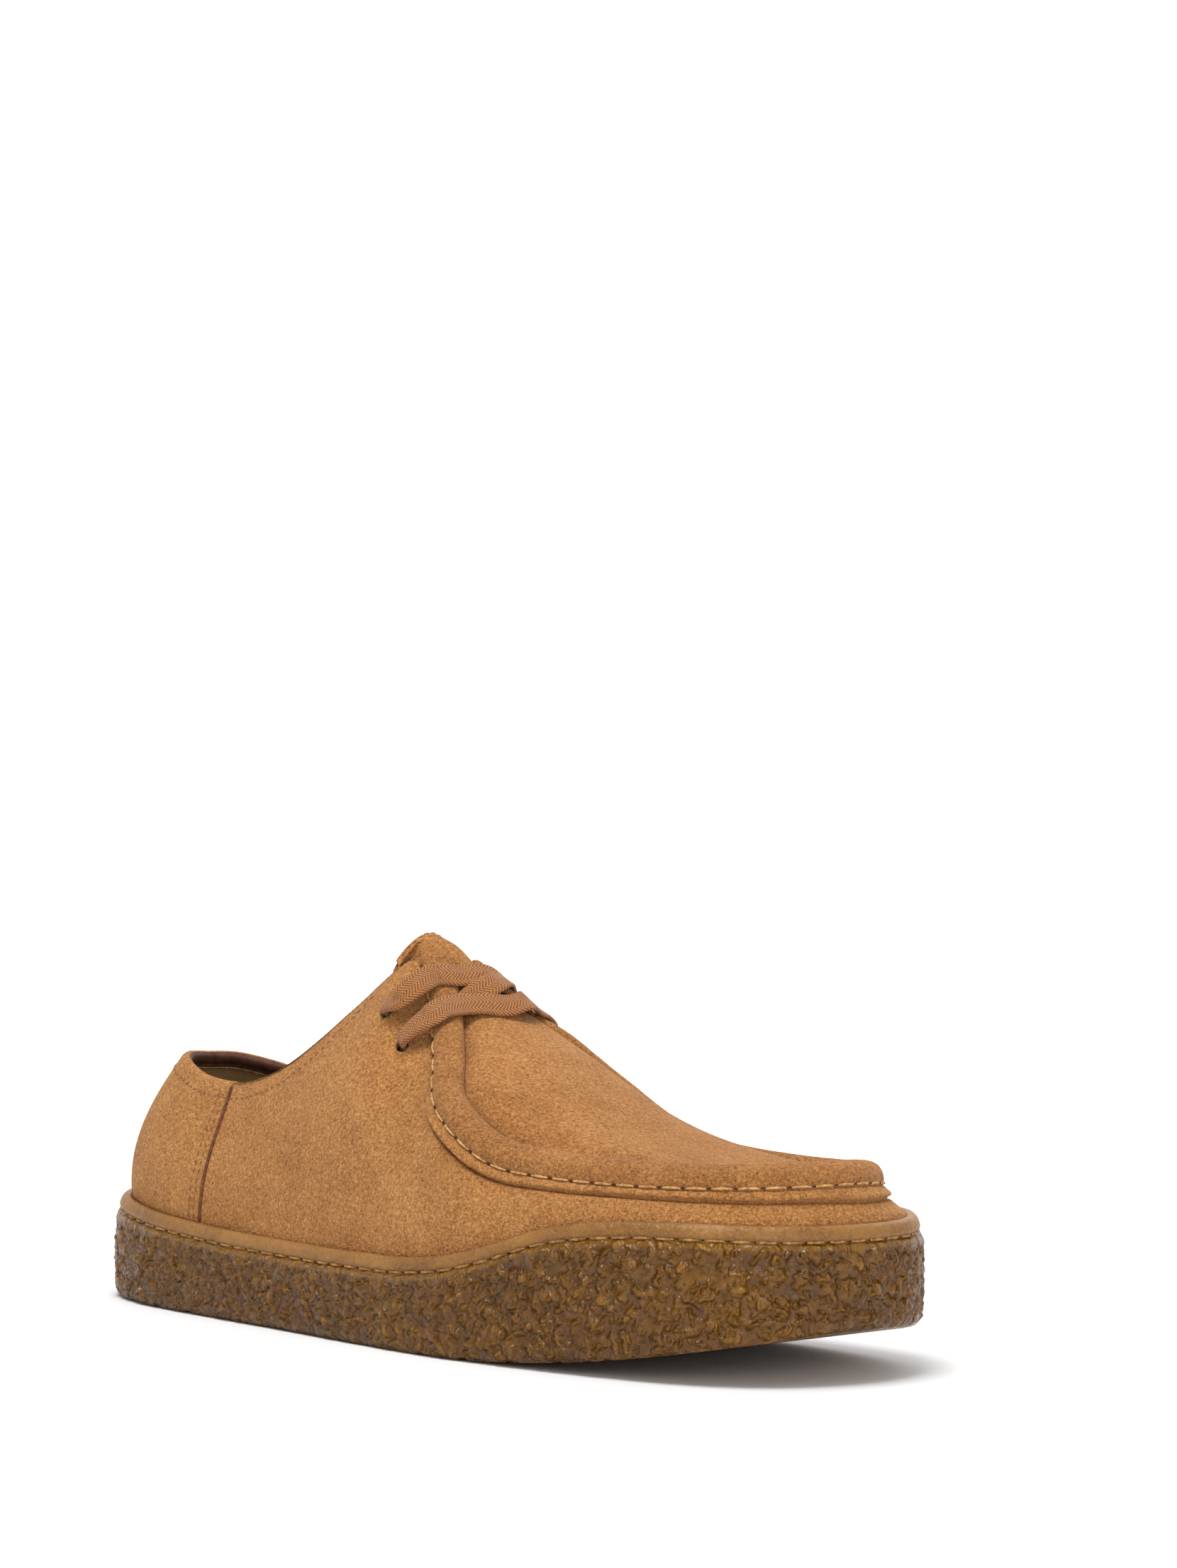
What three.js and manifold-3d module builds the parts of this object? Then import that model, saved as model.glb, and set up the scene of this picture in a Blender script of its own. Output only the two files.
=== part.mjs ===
// A low lace-up moccasin shoe on a thick crepe cup sole, right foot.
// Millimetres, +X to the toe, -Y the outer side, +Z up, floor at z = 0.
import * as THREE from 'three';
import { mergeVertices } from 'three/addons/utils/BufferGeometryUtils.js';
import Module from 'manifold-3d';

const wasm = await Module();
wasm.setup();

// Driving sizes of the sole
const LENGTH = 300;         // heel to toe
const BALL_WIDTH = 112;     // measure of which the outline's half widths are shares
const SOLE_HEIGHT = 38;     // floor to the stitch groove at the toe
const TOE_SPRING = 15;      // lift of the tread at the tip
const EDGE_ROUND = 3;       // rounding of the tread's edge
const GROOVE_DEPTH = 1.1;   // stitch groove round the side
const BAND_HEIGHT = 4.3;    // smooth band above the groove
const BAND_LEAN = 2;        // how far the band leans in
const TREAD_DEPTH = 1.6;    // cross grooves of the tread
const TREAD_WIDTH = 3.2;
const TREAD_PITCH = 16.5;

// Driving sizes of the upper
const INSTEP_RISE = 95;     // cup floor at the waist to the top of the lacing tabs
const UPPER_INSET = 5.2;    // sole outline to the upper's outer face
const FOOT_DROP = 1.5;      // start of the wall's curve below the rim
const WALL_SWELL = 1;       // how far the wall bulges out low down, and how much more at the heel
const HEEL_SWELL = 2.1;
const UPPER_WALL = 2.0;     // suede with its lining
const COUNTER_WALL = 1.2;   // heel panel laid over the wall
const COUNTER_PROUD = 0.5;  // how far its edge stands above the quarter
const LIP_WIDTH = 4.4;      // folded lip below the moccasin seam
const LIP_STEP = 1.3;
const LIP_SLOPE = 0.3;      // half the height of the lip's lower face
const ROLL_WIDTH = 8;       // raised seam round plug and throat
const ROLL_HEIGHT = 6;
const APRON_WALL = 2;       // plug and tongue
const INSOLE_THICK = 4;
const EYELET_BORE = 4.4;
const LACE_WIDTH = 8.5;
const LACE_THICK = 1.3;
const FIT = 0.3;            // clearance where two pieces meet

const table = (names, rows) => rows.map((row) =>
  Object.fromEntries(names.split(' ').map((name, i) => [name, row[i]])));

// Half widths of the sole, shares of BALL_WIDTH, at shares of LENGTH from the heel.
const OUTLINE = table('x outer inner', [
  [0.012, 0.125, 0.130],
  [0.050, 0.251, 0.250],
  [0.130, 0.343, 0.335],
  [0.250, 0.388, 0.355],
  [0.380, 0.424, 0.345],
  [0.500, 0.464, 0.365],
  [0.620, 0.488, 0.430],
  [0.720, 0.470, 0.478],
  [0.820, 0.437, 0.475],
  [0.900, 0.384, 0.445],
  [0.960, 0.278, 0.327],
  [0.990, 0.131, 0.208],
]);
const TOE_TIP = 0.055;

// Heights of stitch groove and cup floor, shares of SOLE_HEIGHT.
const SIDE = table('x groove floor', [
  [0.00, 0.763, 0.526],
  [0.12, 0.663, 0.500],
  [0.26, 0.592, 0.440],
  [0.38, 0.571, 0.385],
  [0.48, 0.571, 0.368],
  [0.58, 0.595, 0.378],
  [0.63, 0.647, 0.387],
  [0.68, 0.745, 0.395],
  [0.74, 0.895, 0.420],
  [0.82, 0.997, 0.500],
  [0.91, 1.026, 0.610],
  [1.00, 1.016, 0.730],
]);

// Ribs of the upper. 'along' is where the rib stands on its half of the outline, by arc
// length from the heel. The rest places its top edge: x in LENGTH, y in BALL_WIDTH, z in
// INSTEP_RISE above the cup floor, with the wall's lean from upright there, in degrees.
const RIBS = table('along outerX outerY outerZ innerX innerY innerZ lean', [
  [0.000, 0.082, 0.000, 0.659, 0.082, 0.000, 0.659, 36],
  [0.060, 0.093, -0.096, 0.663, 0.095, 0.086, 0.655, 35],
  [0.120, 0.122, -0.170, 0.645, 0.123, 0.156, 0.629, 31],
  [0.190, 0.172, -0.214, 0.601, 0.168, 0.202, 0.592, 25],
  [0.250, 0.230, -0.232, 0.588, 0.223, 0.223, 0.579, 17],
  [0.310, 0.280, -0.244, 0.619, 0.277, 0.232, 0.611, 18],
  [0.360, 0.317, -0.241, 0.668, 0.313, 0.228, 0.668, 22],
  [0.405, 0.352, -0.223, 0.744, 0.350, 0.214, 0.744, 30],
  [0.440, 0.388, -0.183, 0.848, 0.388, 0.179, 0.840, 40],
  [0.470, 0.437, -0.103, 1.001, 0.437, 0.098, 0.950, 50],
  [0.505, 0.472, -0.134, 0.911, 0.472, 0.129, 0.868, 50],
  [0.535, 0.498, -0.179, 0.816, 0.498, 0.170, 0.785, 47],
  [0.565, 0.532, -0.256, 0.705, 0.532, 0.241, 0.705, 40],
  [0.595, 0.570, -0.348, 0.577, 0.570, 0.312, 0.584, 30],
  [0.630, 0.620, -0.384, 0.477, 0.617, 0.344, 0.474, 22],
  [0.670, 0.665, -0.379, 0.415, 0.663, 0.362, 0.402, 20],
  [0.720, 0.723, -0.362, 0.394, 0.722, 0.378, 0.373, 20],
  [0.790, 0.802, -0.339, 0.388, 0.802, 0.373, 0.364, 20],
  [0.860, 0.875, -0.299, 0.391, 0.873, 0.339, 0.369, 20],
  [0.920, 0.927, -0.223, 0.397, 0.923, 0.263, 0.382, 20],
  [0.965, 0.955, -0.112, 0.402, 0.953, 0.165, 0.396, 20],
  [1.000, 0.965, 0.036, 0.404, 0.965, 0.036, 0.404, 20],
]);
const TAB = 9;              // rib at the top of the lacing tab
const TOE = RIBS.length - 1;
const AROUND = 2 * TOE;     // ribs once round the shoe

// Spine of plug and tongue, x in LENGTH by rib, and how far the plug's edge lies above the
// seam line, in ROLL_HEIGHT.
const SPINE = table('rib x edge', [
  [9, 0.437, -1.20],
  [10, 0.470, -0.90],
  [11, 0.500, -0.80],
  [12, 0.533, -0.25],
  [13, 0.573, 0.15],
  [14, 0.617, 0.42],
  [15, 0.663, 0.55],
  [16, 0.720, 0.60],
  [17, 0.783, 0.62],
  [18, 0.830, 0.62],
  [19, 0.860, 0.62],
  [20, 0.877, 0.62],
  [21, 0.883, 0.62],
]);

// Height of the spine above the cup floor, in INSTEP_RISE.
const RIDGE = table('x z', [
  [0.413, 1.076],
  [0.423, 1.075],
  [0.437, 1.063],
  [0.460, 1.033],
  [0.487, 0.956],
  [0.513, 0.888],
  [0.540, 0.835],
  [0.573, 0.776],
  [0.613, 0.705],
  [0.660, 0.624],
  [0.720, 0.541],
  [0.787, 0.480],
  [0.847, 0.447],
  [0.887, 0.437],
  [0.917, 0.433],
]);

// Tongue above the tabs: spine x and edge, with the units of RIBS.
const TONGUE = table('rib x edgeX edgeY edgeZ', [
  [5, 0.419, 0.415, 0.112, 0.993],
  [6, 0.423, 0.421, 0.116, 0.972],
  [7, 0.427, 0.417, 0.112, 0.936],
  [8, 0.432, 0.415, 0.114, 0.900],
]);

// Value of a column at 'at' on the key column, by a smooth curve through the rows.
function smooth(rows, key, at, column) {
  const last = rows.length - 1;
  let i = 0;
  while (i < last - 1 && at > rows[i + 1][key]) i++;
  const slope = (j) => {
    const rise = (k) => (rows[k + 1][column] - rows[k][column]) / (rows[k + 1][key] - rows[k][key]);
    if (j === 0) return rise(0);
    if (j === last) return rise(last - 1);
    const before = rows[j][key] - rows[j - 1][key];
    const after = rows[j + 1][key] - rows[j][key];
    return (rise(j - 1) * after + rise(j) * before) / (before + after);
  };
  const span = rows[i + 1][key] - rows[i][key];
  const t = THREE.MathUtils.clamp((at - rows[i][key]) / span, 0, 1);
  const t2 = t * t;
  const t3 = t2 * t;
  return (2 * t3 - 3 * t2 + 1) * rows[i][column] + (t3 - 2 * t2 + t) * span * slope(i)
    + (3 * t2 - 2 * t3) * rows[i + 1][column] + (t3 - t2) * span * slope(i + 1);
}

const ease = THREE.MathUtils.smoothstep;
const vec = (x, y, z) => new THREE.Vector3(x, y, z);

// Outline of the sole by arc length: 0 heel, 1 toe along the outer side, 2 heel again.
const HALF_STEPS = 400;
const outlineCurve = new THREE.CatmullRomCurve3([
  vec(0, 0, 0),
  ...OUTLINE.map((row) => vec(row.x * LENGTH, -row.outer * BALL_WIDTH, 0)),
  vec(LENGTH, TOE_TIP * BALL_WIDTH, 0),
  ...OUTLINE.toReversed().map((row) => vec(row.x * LENGTH, row.inner * BALL_WIDTH, 0)),
], true, 'centripetal');

function evenHalf(from, to) {
  const fine = Array.from({ length: 801 }, (_, i) => outlineCurve.getPoint(from + (to - from) * i / 800));
  const run = [0];
  for (let i = 1; i < fine.length; i++) run.push(run[i - 1] + fine[i].distanceTo(fine[i - 1]));
  const even = [];
  for (let step = 0, i = 0; step < HALF_STEPS; step++) {
    const goal = run.at(-1) * step / HALF_STEPS;
    while (run[i + 1] < goal) i++;
    even.push(fine[i].clone().lerp(fine[i + 1], (goal - run[i]) / (run[i + 1] - run[i])));
  }
  return even;
}
const OUTLINE_POINTS = [...evenHalf(0, 0.5), ...evenHalf(0.5, 1)];

function outline(along, inset) {
  const count = OUTLINE_POINTS.length;
  const at = (i) => OUTLINE_POINTS[((i % count) + count) % count];
  const place = along * HALF_STEPS;
  const i = Math.floor(place);
  const point = at(i).clone().lerp(at(i + 1), place - i);
  const tangent = at(i + 3).clone().sub(at(i - 2)).normalize();
  const outward = vec(tangent.y, -tangent.x, 0);
  return { point: point.addScaledVector(outward, -inset), outward };
}

// Heights over the floor
const tread = (x) => TOE_SPRING * Math.max(0, (x / LENGTH - 0.62) / 0.38) ** 1.8;
const groove = (x) => SOLE_HEIGHT * smooth(SIDE, 'x', x / LENGTH, 'groove');
const rim = (x) => groove(x) + BAND_HEIGHT;
const cupFloor = (x) => SOLE_HEIGHT * smooth(SIDE, 'x', x / LENGTH, 'floor');
const DATUM = cupFloor(LENGTH / 2);
const ridge = (x) => DATUM + INSTEP_RISE * smooth(RIDGE, 'x', x / LENGTH, 'z');

// One row of ribs right round the shoe: outer side heel to toe, then inner side back.
const RING = Array.from({ length: AROUND }, (_, g) => {
  const rib = RIBS[g <= TOE ? g : AROUND - g];
  const side = g <= TOE ? 'outer' : 'inner';
  return {
    along: g <= TOE ? rib.along : 2 - rib.along,
    x: rib[side + 'X'] * LENGTH,
    y: rib[side + 'Y'] * BALL_WIDTH,
    z: DATUM + rib[side + 'Z'] * INSTEP_RISE,
    lean: THREE.MathUtils.degToRad(rib.lean),
  };
});

// Upper edge of the wall at ring position g: collar, tab, throat and moccasin seam.
function edgeRow(g) {
  const i = Math.floor(g);
  const t = g - i;
  const row = {};
  for (const name of ['along', 'x', 'y', 'z', 'lean']) {
    const [a, b, c, d] = [-1, 0, 1, 2].map((step) => {
      const place = i + step;
      const turn = Math.floor(place / AROUND);
      return RING[place - turn * AROUND][name] + (name === 'along' ? 2 * turn : 0);
    });
    row[name] = b + 0.5 * t * (c - a + t * (2 * a - 5 * b + 4 * c - d + t * (3 * (b - c) + d - a)));
  }
  return row;
}
const edgePoint = (g) => {
  const row = edgeRow(g);
  return vec(row.x, row.y, row.z);
};
const ribOf = (g) => {
  const place = ((g % AROUND) + AROUND) % AROUND;
  return place <= TOE ? place : AROUND - place;
};

// Point of the last on rib g: v = 0 at the sole's rim, v = 1 at the upper edge.
function wall(g, v) {
  const row = edgeRow(g);
  const { point: foot, outward } = outline(row.along, UPPER_INSET);
  foot.z = rim(foot.x) - FOOT_DROP;
  const top = vec(row.x, row.y, row.z);
  const rise = top.z - foot.z;
  const heel = ease(1 - foot.x / LENGTH, 0.75, 1);
  const swell = WALL_SWELL + HEEL_SWELL * heel;
  const low = foot.clone().addScaledVector(outward, swell).add(vec(0, 0, 0.40 * rise));
  const high = top.clone().add(vec(0, 0, -0.34 * rise * Math.cos(row.lean)))
    .addScaledVector(outward, 0.34 * rise * Math.sin(row.lean));
  return new THREE.CubicBezierCurve3(foot, low, high, top).getPoint(v);
}

// Faces of a grid of columns and rows, counter-clockwise seen from outside.
function gridFaces(columns, rows, index, closed) {
  const faces = [];
  for (let i = 0; i < columns - (closed ? 0 : 1); i++) {
    for (let j = 0; j < rows - 1; j++) {
      const a = index(i, j);
      const b = index((i + 1) % columns, j);
      const c = index((i + 1) % columns, j + 1);
      const d = index(i, j + 1);
      if (a !== b) faces.push([a, b, c]);
      if (c !== d) faces.push([a, c, d]);
    }
  }
  return faces;
}

function normalsOf(points, faces) {
  const normals = points.map(() => vec(0, 0, 0));
  for (const [a, b, c] of faces) {
    const across = points[b].clone().sub(points[a]).cross(points[c].clone().sub(points[a]));
    for (const corner of [a, b, c]) normals[corner].add(across);
  }
  return normals.map((normal) => normal.normalize());
}

function geometryOf(points, faces) {
  const geometry = new THREE.BufferGeometry();
  geometry.setAttribute('position', new THREE.Float32BufferAttribute(points.flatMap((p) => p.toArray()), 3));
  geometry.setIndex(faces.flat());
  return mergeVertices(geometry, 1e-4);
}

// A sheet with thickness: outer and inner skins along the sheet's normals, and its edges.
function shell(points, faces, outward, inward) {
  const normals = normalsOf(points, faces);
  const skin = (amount, sign) => points.map((point, i) =>
    point.clone().addScaledVector(normals[i], sign * amount(i)));
  const count = points.length;
  const edges = new Map();
  for (const [a, b, c] of faces) {
    for (const [from, to] of [[a, b], [b, c], [c, a]]) edges.set(`${from} ${to}`, [from, to]);
  }
  const sides = [];
  for (const [from, to] of edges.values()) {
    if (edges.has(`${to} ${from}`)) continue;
    sides.push([to, from, from + count], [to, from + count, to + count]);
  }
  const inner = faces.map(([a, b, c]) => [a + count, c + count, b + count]);
  return geometryOf([...skin(outward, 1), ...skin(inward, -1)], [...faces, ...inner, ...sides]);
}

// A solid from closed rings, first and last capped by rungs between their two halves.
function ringSolid(rings) {
  const count = rings[0].length;
  const points = rings.flat();
  const index = (i, j) => j * count + i;
  const faces = gridFaces(count, rings.length, index, true);
  const half = count / 2;
  for (const [j, turn] of [[0, true], [rings.length - 1, false]]) {
    for (let i = 0; i < half; i++) {
      const a = index(i, j);
      const b = index(i + 1, j);
      const c = index((count - i - 1) % count, j);
      const d = index((count - i) % count, j);
      const rung = [];
      if (i < half - 1) rung.push([a, b, c]);
      if (i > 0) rung.push([a, c, d]);
      faces.push(...(turn ? rung.map(([p, q, r]) => [p, r, q]) : rung));
    }
  }
  return geometryOf(points, faces);
}

// A bar from equal closed sections, capped at both ends by fans.
function barSolid(sections) {
  const count = sections[0].length;
  const faces = gridFaces(count, sections.length, (i, j) => j * count + i, true);
  const last = (sections.length - 1) * count;
  for (let i = 1; i < count - 1; i++) faces.push([0, i + 1, i], [last, last + i, last + i + 1]);
  return geometryOf(sections.flat(), faces);
}

const solidOf = (geometry) => new wasm.Manifold(new wasm.Mesh({
  numProp: 3,
  vertProperties: new Float32Array(geometry.attributes.position.array),
  triVerts: new Uint32Array(geometry.index.array),
}));

// A three.js primitive as a solid, placed by a matrix.
function primitiveSolid(geometry, matrix) {
  const bare = geometry.clone();
  bare.deleteAttribute('normal');
  bare.deleteAttribute('uv');
  return solidOf(mergeVertices(bare.applyMatrix4(matrix), 1e-5));
}

function geometryFrom(solid) {
  const mesh = solid.getMesh();
  const geometry = new THREE.BufferGeometry();
  geometry.setAttribute('position', new THREE.BufferAttribute(mesh.vertProperties, 3));
  geometry.setIndex(Array.from(mesh.triVerts));
  return geometry;
}

// Crepe cup sole with its stitch groove, rim band, cup and cross grooves in the tread.
function makeSole() {
  const columns = 88;
  const cup = UPPER_INSET - FIT;
  const rows = [
    [1.1 * EDGE_ROUND, (x) => tread(x)],
    [0.45 * EDGE_ROUND, (x) => tread(x) + 0.25 * EDGE_ROUND],
    [0.15 * EDGE_ROUND, (x) => tread(x) + EDGE_ROUND],
    [0, (x) => tread(x) + 0.55 * (groove(x) - tread(x))],
    [0.3, (x) => groove(x) - 2.2 * GROOVE_DEPTH],
    [0.9, (x) => groove(x) - 0.8 * GROOVE_DEPTH],
    [0.9 + GROOVE_DEPTH, (x) => groove(x)],
    [1.3, (x) => groove(x) + 0.8 * GROOVE_DEPTH],
    [0.9 + 0.5 * BAND_LEAN, (x) => groove(x) + 0.72 * BAND_HEIGHT],
    [0.9 + BAND_LEAN, (x) => rim(x)],
    [cup, (x) => rim(x) - 0.5],
    [cup, cupFloor],
  ];
  const rings = rows.map(([inset, height]) => Array.from({ length: columns }, (_, i) => {
    const { point } = outline(2 * i / columns, inset);
    point.z = height(point.x);
    return point;
  }));
  let sole = solidOf(ringSolid(rings));
  const block = new THREE.BoxGeometry(TREAD_WIDTH, 2 * BALL_WIDTH, 2 * TREAD_DEPTH);
  const spans = [[0.05, 0.27], [0.60, 0.985]];
  for (const [from, to] of spans) {
    for (let x = from * LENGTH; x < to * LENGTH; x += TREAD_PITCH) {
      const slope = Math.atan2(tread(x + 1) - tread(x - 1), 2);
      const place = new THREE.Matrix4().makeRotationY(-slope).setPosition(x, 0, tread(x));
      sole = sole.subtract(primitiveSolid(block, place));
    }
  }
  return geometryFrom(sole);
}

// Ring positions of the upper's columns, closer at corners and panel edges.
const SEAM = 3.85;          // rib of the heel panel's front edge
const QUARTER = [0, 0.75, 1.5, 2.3, 3.1, SEAM - 0.04, SEAM + 0.04, 4.5, 5.2, 6, 6.8, 7.5, 8.1, 8.5, 8.8];
const THROAT = [9, 9.2, 9.5, 10, 10.6, 11.2, 11.8, 12.4, 12.9, 13.4, 14, 14.7, 15.4, 16.2, 17, 17.8,
  18.5, 19.2, 19.8, 20.4];
const HALF_RING = [...QUARTER, ...THROAT, TOE];
const mirrored = (stations) => stations.toReversed().map((g) => AROUND - g);
const UPPER_RING = [...HALF_RING, ...mirrored(HALF_RING.slice(1, -1))];
const THROAT_RING = [...THROAT, TOE, ...mirrored(THROAT)];

// How deep the upper's outer and inner faces lie under the last's surface.
const recess = (g) => (ribOf(g) < SEAM ? COUNTER_WALL + FIT
  : COUNTER_PROUD * (1 - ease(ribOf(g), SEAM + 0.3, 6.5)));
const depth = (g) => UPPER_WALL + (COUNTER_WALL + FIT) * (1 - ease(ribOf(g), SEAM, 6.5));
const lip = (g) => LIP_STEP * ease(ribOf(g), 10.6, 12);

// Columns of points of the last, from the cup floor up.
function wallSheet(ring, closed, topShare) {
  const shares = [0, 0.24, 0.48, 0.7, 0.88, 1];
  const points = [];
  const lipRows = [];
  for (const g of ring) {
    const down = wall(g, 0.9).sub(wall(g, 1)).normalize();
    const seam = edgePoint(g + 0.1).sub(edgePoint(g - 0.1)).normalize();
    const length = wall(g, 0).distanceTo(wall(g, 1)) * Math.max(down.cross(seam).length(), 0.6);
    const step = 1 - (LIP_WIDTH + LIP_SLOPE) / length;
    const above = 1 - (LIP_WIDTH - LIP_SLOPE) / length;
    const heights = [...shares.map((share) => share * step), above, topShare];
    const foot = wall(g, 0);
    points.push(vec(foot.x, foot.y, cupFloor(foot.x) + FIT));
    lipRows.push(false);
    heights.forEach((v, j) => {
      points.push(wall(g, v));
      lipRows.push(j >= shares.length);
    });
  }
  const rows = shares.length + 3;
  const faces = gridFaces(ring.length, rows, (i, j) => i * rows + j, closed);
  return { points, faces, rows, lipRows };
}

// Quarters and vamp in one wall, open below, at the collar and at the throat.
const EYELETS = table('rib height', [[9.20, 0.76], [10.24, 0.75]]);
function makeUpper() {
  const { points, faces, rows, lipRows } = wallSheet(UPPER_RING, true, 1);
  const at = (i) => UPPER_RING[Math.floor(i / rows)];
  const outward = (i) => (lipRows[i] ? lip(at(i)) : 0) - recess(at(i));
  let upper = solidOf(shell(points, faces, outward, (i) => depth(at(i))));
  const punch = new THREE.CylinderGeometry(EYELET_BORE / 2, EYELET_BORE / 2, 8 * UPPER_WALL, 12);
  for (const { rib, height } of EYELETS) {
    for (const g of [rib, AROUND - rib]) {
      const place = new THREE.Matrix4()
        .makeRotationFromQuaternion(new THREE.Quaternion().setFromUnitVectors(vec(0, 1, 0), wallNormal(g, height)))
        .setPosition(wall(g, height));
      upper = upper.subtract(primitiveSolid(punch, place));
    }
  }
  return geometryFrom(upper);
}

function wallNormal(g, v) {
  const along = wall(g + 0.1, v).sub(wall(g - 0.1, v));
  const up = wall(g, v + 0.01).sub(wall(g, v - 0.01));
  return along.cross(up).normalize();
}

// Heel panel over the wall, its front edge a little proud of the quarters.
function makeCounter() {
  const half = QUARTER.filter((g) => g < SEAM);
  const ring = [...half.slice(1).toReversed().map((g) => -g), ...half];
  const { points, faces } = wallSheet(ring, false, 0.995);
  return shell(points, faces, () => 0, () => COUNTER_WALL);
}

// Seam frame: the edge point, the way in across the plug, and the way out of it.
function seamFrame(g) {
  const point = edgePoint(g);
  const tangent = edgePoint(g + 0.25).sub(edgePoint(g - 0.25)).normalize();
  const inward = spine(ribOf(g)).sub(point);
  inward.addScaledVector(tangent, -inward.dot(tangent)).normalize();
  const out = tangent.clone().cross(inward).normalize();
  if (out.z < 0) out.negate();
  return { point, inward, out };
}

function spine(rib) {
  const x = LENGTH * (rib < TAB ? smooth(TONGUE_SPINE, 'rib', rib, 'x') : smooth(SPINE, 'rib', rib, 'x'));
  return vec(x, 0, ridge(x));
}
const TONGUE_SPINE = [...TONGUE, SPINE[0]];

// Raised seam's height by rib: lower beside the throat than round the toe.
const rollHeight = (rib) => ROLL_HEIGHT * (0.5 + 0.5 * ease(rib, 9.5, 15));

// How far inside the seam line the plug's edge runs. Under the lacing tabs it runs outside
// that line, so that the tongue closes the throat. Its crown is a little less round there.
const EDGE_SETBACK = 3.1;
const TAB_OVERLAP = 3.5;
const setback = (rib) => EDGE_SETBACK - (EDGE_SETBACK + TAB_OVERLAP) * (1 - ease(rib, 10.4, 12.2));
const crownPower = (rib) => 1.9 + 0.3 * ease(rib, 10.4, 12.6);

// Edge and surface of the plug: s = 0 at its edge, s = 1 on the spine.
function apronEdge(rib, side) {
  const seam = (at) => {
    const { point, inward, out } = seamFrame(side < 0 ? at : AROUND - at);
    return point.addScaledVector(inward, setback(at))
      .addScaledVector(out, ROLL_HEIGHT * smooth(SPINE, 'rib', at, 'edge'));
  };
  if (rib >= TAB) return seam(rib);
  const tab = seam(TAB);
  const rows = TONGUE.map((row) => ({
    rib: row.rib,
    x: row.edgeX * LENGTH,
    y: side * row.edgeY * BALL_WIDTH,
    z: DATUM + row.edgeZ * INSTEP_RISE,
  }));
  rows.push({ rib: TAB, x: tab.x, y: tab.y, z: tab.z });
  return vec(...['x', 'y', 'z'].map((name) => smooth(rows, 'rib', rib, name)));
}
function apron(rib, side, s) {
  const edge = apronEdge(rib, side);
  const crown = spine(rib);
  const point = crown.clone().lerp(edge, 1 - s);
  point.z = crown.z + (edge.z - crown.z) * (1 - s) ** crownPower(rib);
  return point;
}

// Plug and tongue in one sheet, from the tongue's top round the toe.
function makeApron() {
  const half = [5, 5.6, 6.4, 7.2, 8.2, ...THROAT, TOE];
  const ribs = [...half, ...half.slice(0, -1).toReversed()];
  const rows = 8;
  const last = ribs.length - 1;
  const points = [];
  ribs.forEach((rib, i) => {
    for (let j = 0; j < rows; j++) points.push(apron(rib, i <= last / 2 ? -1 : 1, j / (rows - 1)));
  });
  const index = (i, j) => (j === rows - 1 ? Math.min(i, last - i) : i) * rows + j;
  const faces = gridFaces(ribs.length, rows, index, false);
  return shell(points, faces, () => 0, () => APRON_WALL);
}

// Raised seam: a rounded bar over the joint of wall and plug, its inner foot on the plug.
function makeRoll() {
  const ring = THROAT_RING.slice(1, -1);
  return barSolid(ring.map((g) => {
    const { point, inward, out } = seamFrame(g);
    const rib = ribOf(g);
    const side = g <= TOE ? -1 : 1;
    const high = rollHeight(rib);
    const at = (u, w) => point.clone().addScaledVector(inward, u).addScaledVector(out, w);
    const rim = apronEdge(rib, side);
    const edge = Math.max(rim.clone().sub(point).dot(out) + 2 * FIT, 2 * FIT);
    const onPlug = (u) => {
      const reach = rim.distanceTo(spine(rib));
      const foot = apron(rib, side, (u - setback(rib)) / reach).sub(point);
      return at(foot.dot(inward), Math.max(foot.dot(out) + 3 * FIT, 2 * FIT));
    };
    return [
      at(0, 1.3 * FIT), at(EDGE_SETBACK - 3 * FIT, 1.3 * FIT), at(EDGE_SETBACK - FIT, edge),
      onPlug(0.7 * ROLL_WIDTH),
      onPlug(ROLL_WIDTH), at(0.88 * ROLL_WIDTH, 0.84 * high), at(0.6 * ROLL_WIDTH, high),
      at(0.28 * ROLL_WIDTH, 0.93 * high), at(0.02 * ROLL_WIDTH, 0.68 * high),
      at(-0.06 * ROLL_WIDTH, 0.35 * high),
    ];
  }));
}

// Insole board and sock, cut to the inside of the upper.
function makeInsole() {
  const ring = (height, trim) => UPPER_RING.map((g) => {
    const { point } = outline(edgeRow(g).along, UPPER_INSET + depth(g) + FIT + trim);
    point.z = cupFloor(point.x) + FIT + height;
    return point;
  });
  return ringSolid([ring(0, 0), ring(INSOLE_THICK - 1, 0), ring(INSOLE_THICK, 1)]);
}

// Flat lace along a path of points with the way out of the surface at each.
function ribbon(path) {
  return barSolid(path.map(({ point, out, wide }, i) => {
    const before = path[Math.max(i - 1, 0)].point;
    const after = path[Math.min(i + 1, path.length - 1)].point;
    const run = after.clone().sub(before).normalize();
    const across = out.clone().cross(run).normalize();
    const face = run.clone().cross(across);
    const half = LACE_WIDTH / 2 * wide;
    const corner = (a, b) => point.clone().addScaledVector(across, a * half)
      .addScaledVector(face, b * LACE_THICK / 2);
    return [corner(-1, -1), corner(1, -1), corner(1, 1), corner(-1, 1)];
  }));
}

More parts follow.
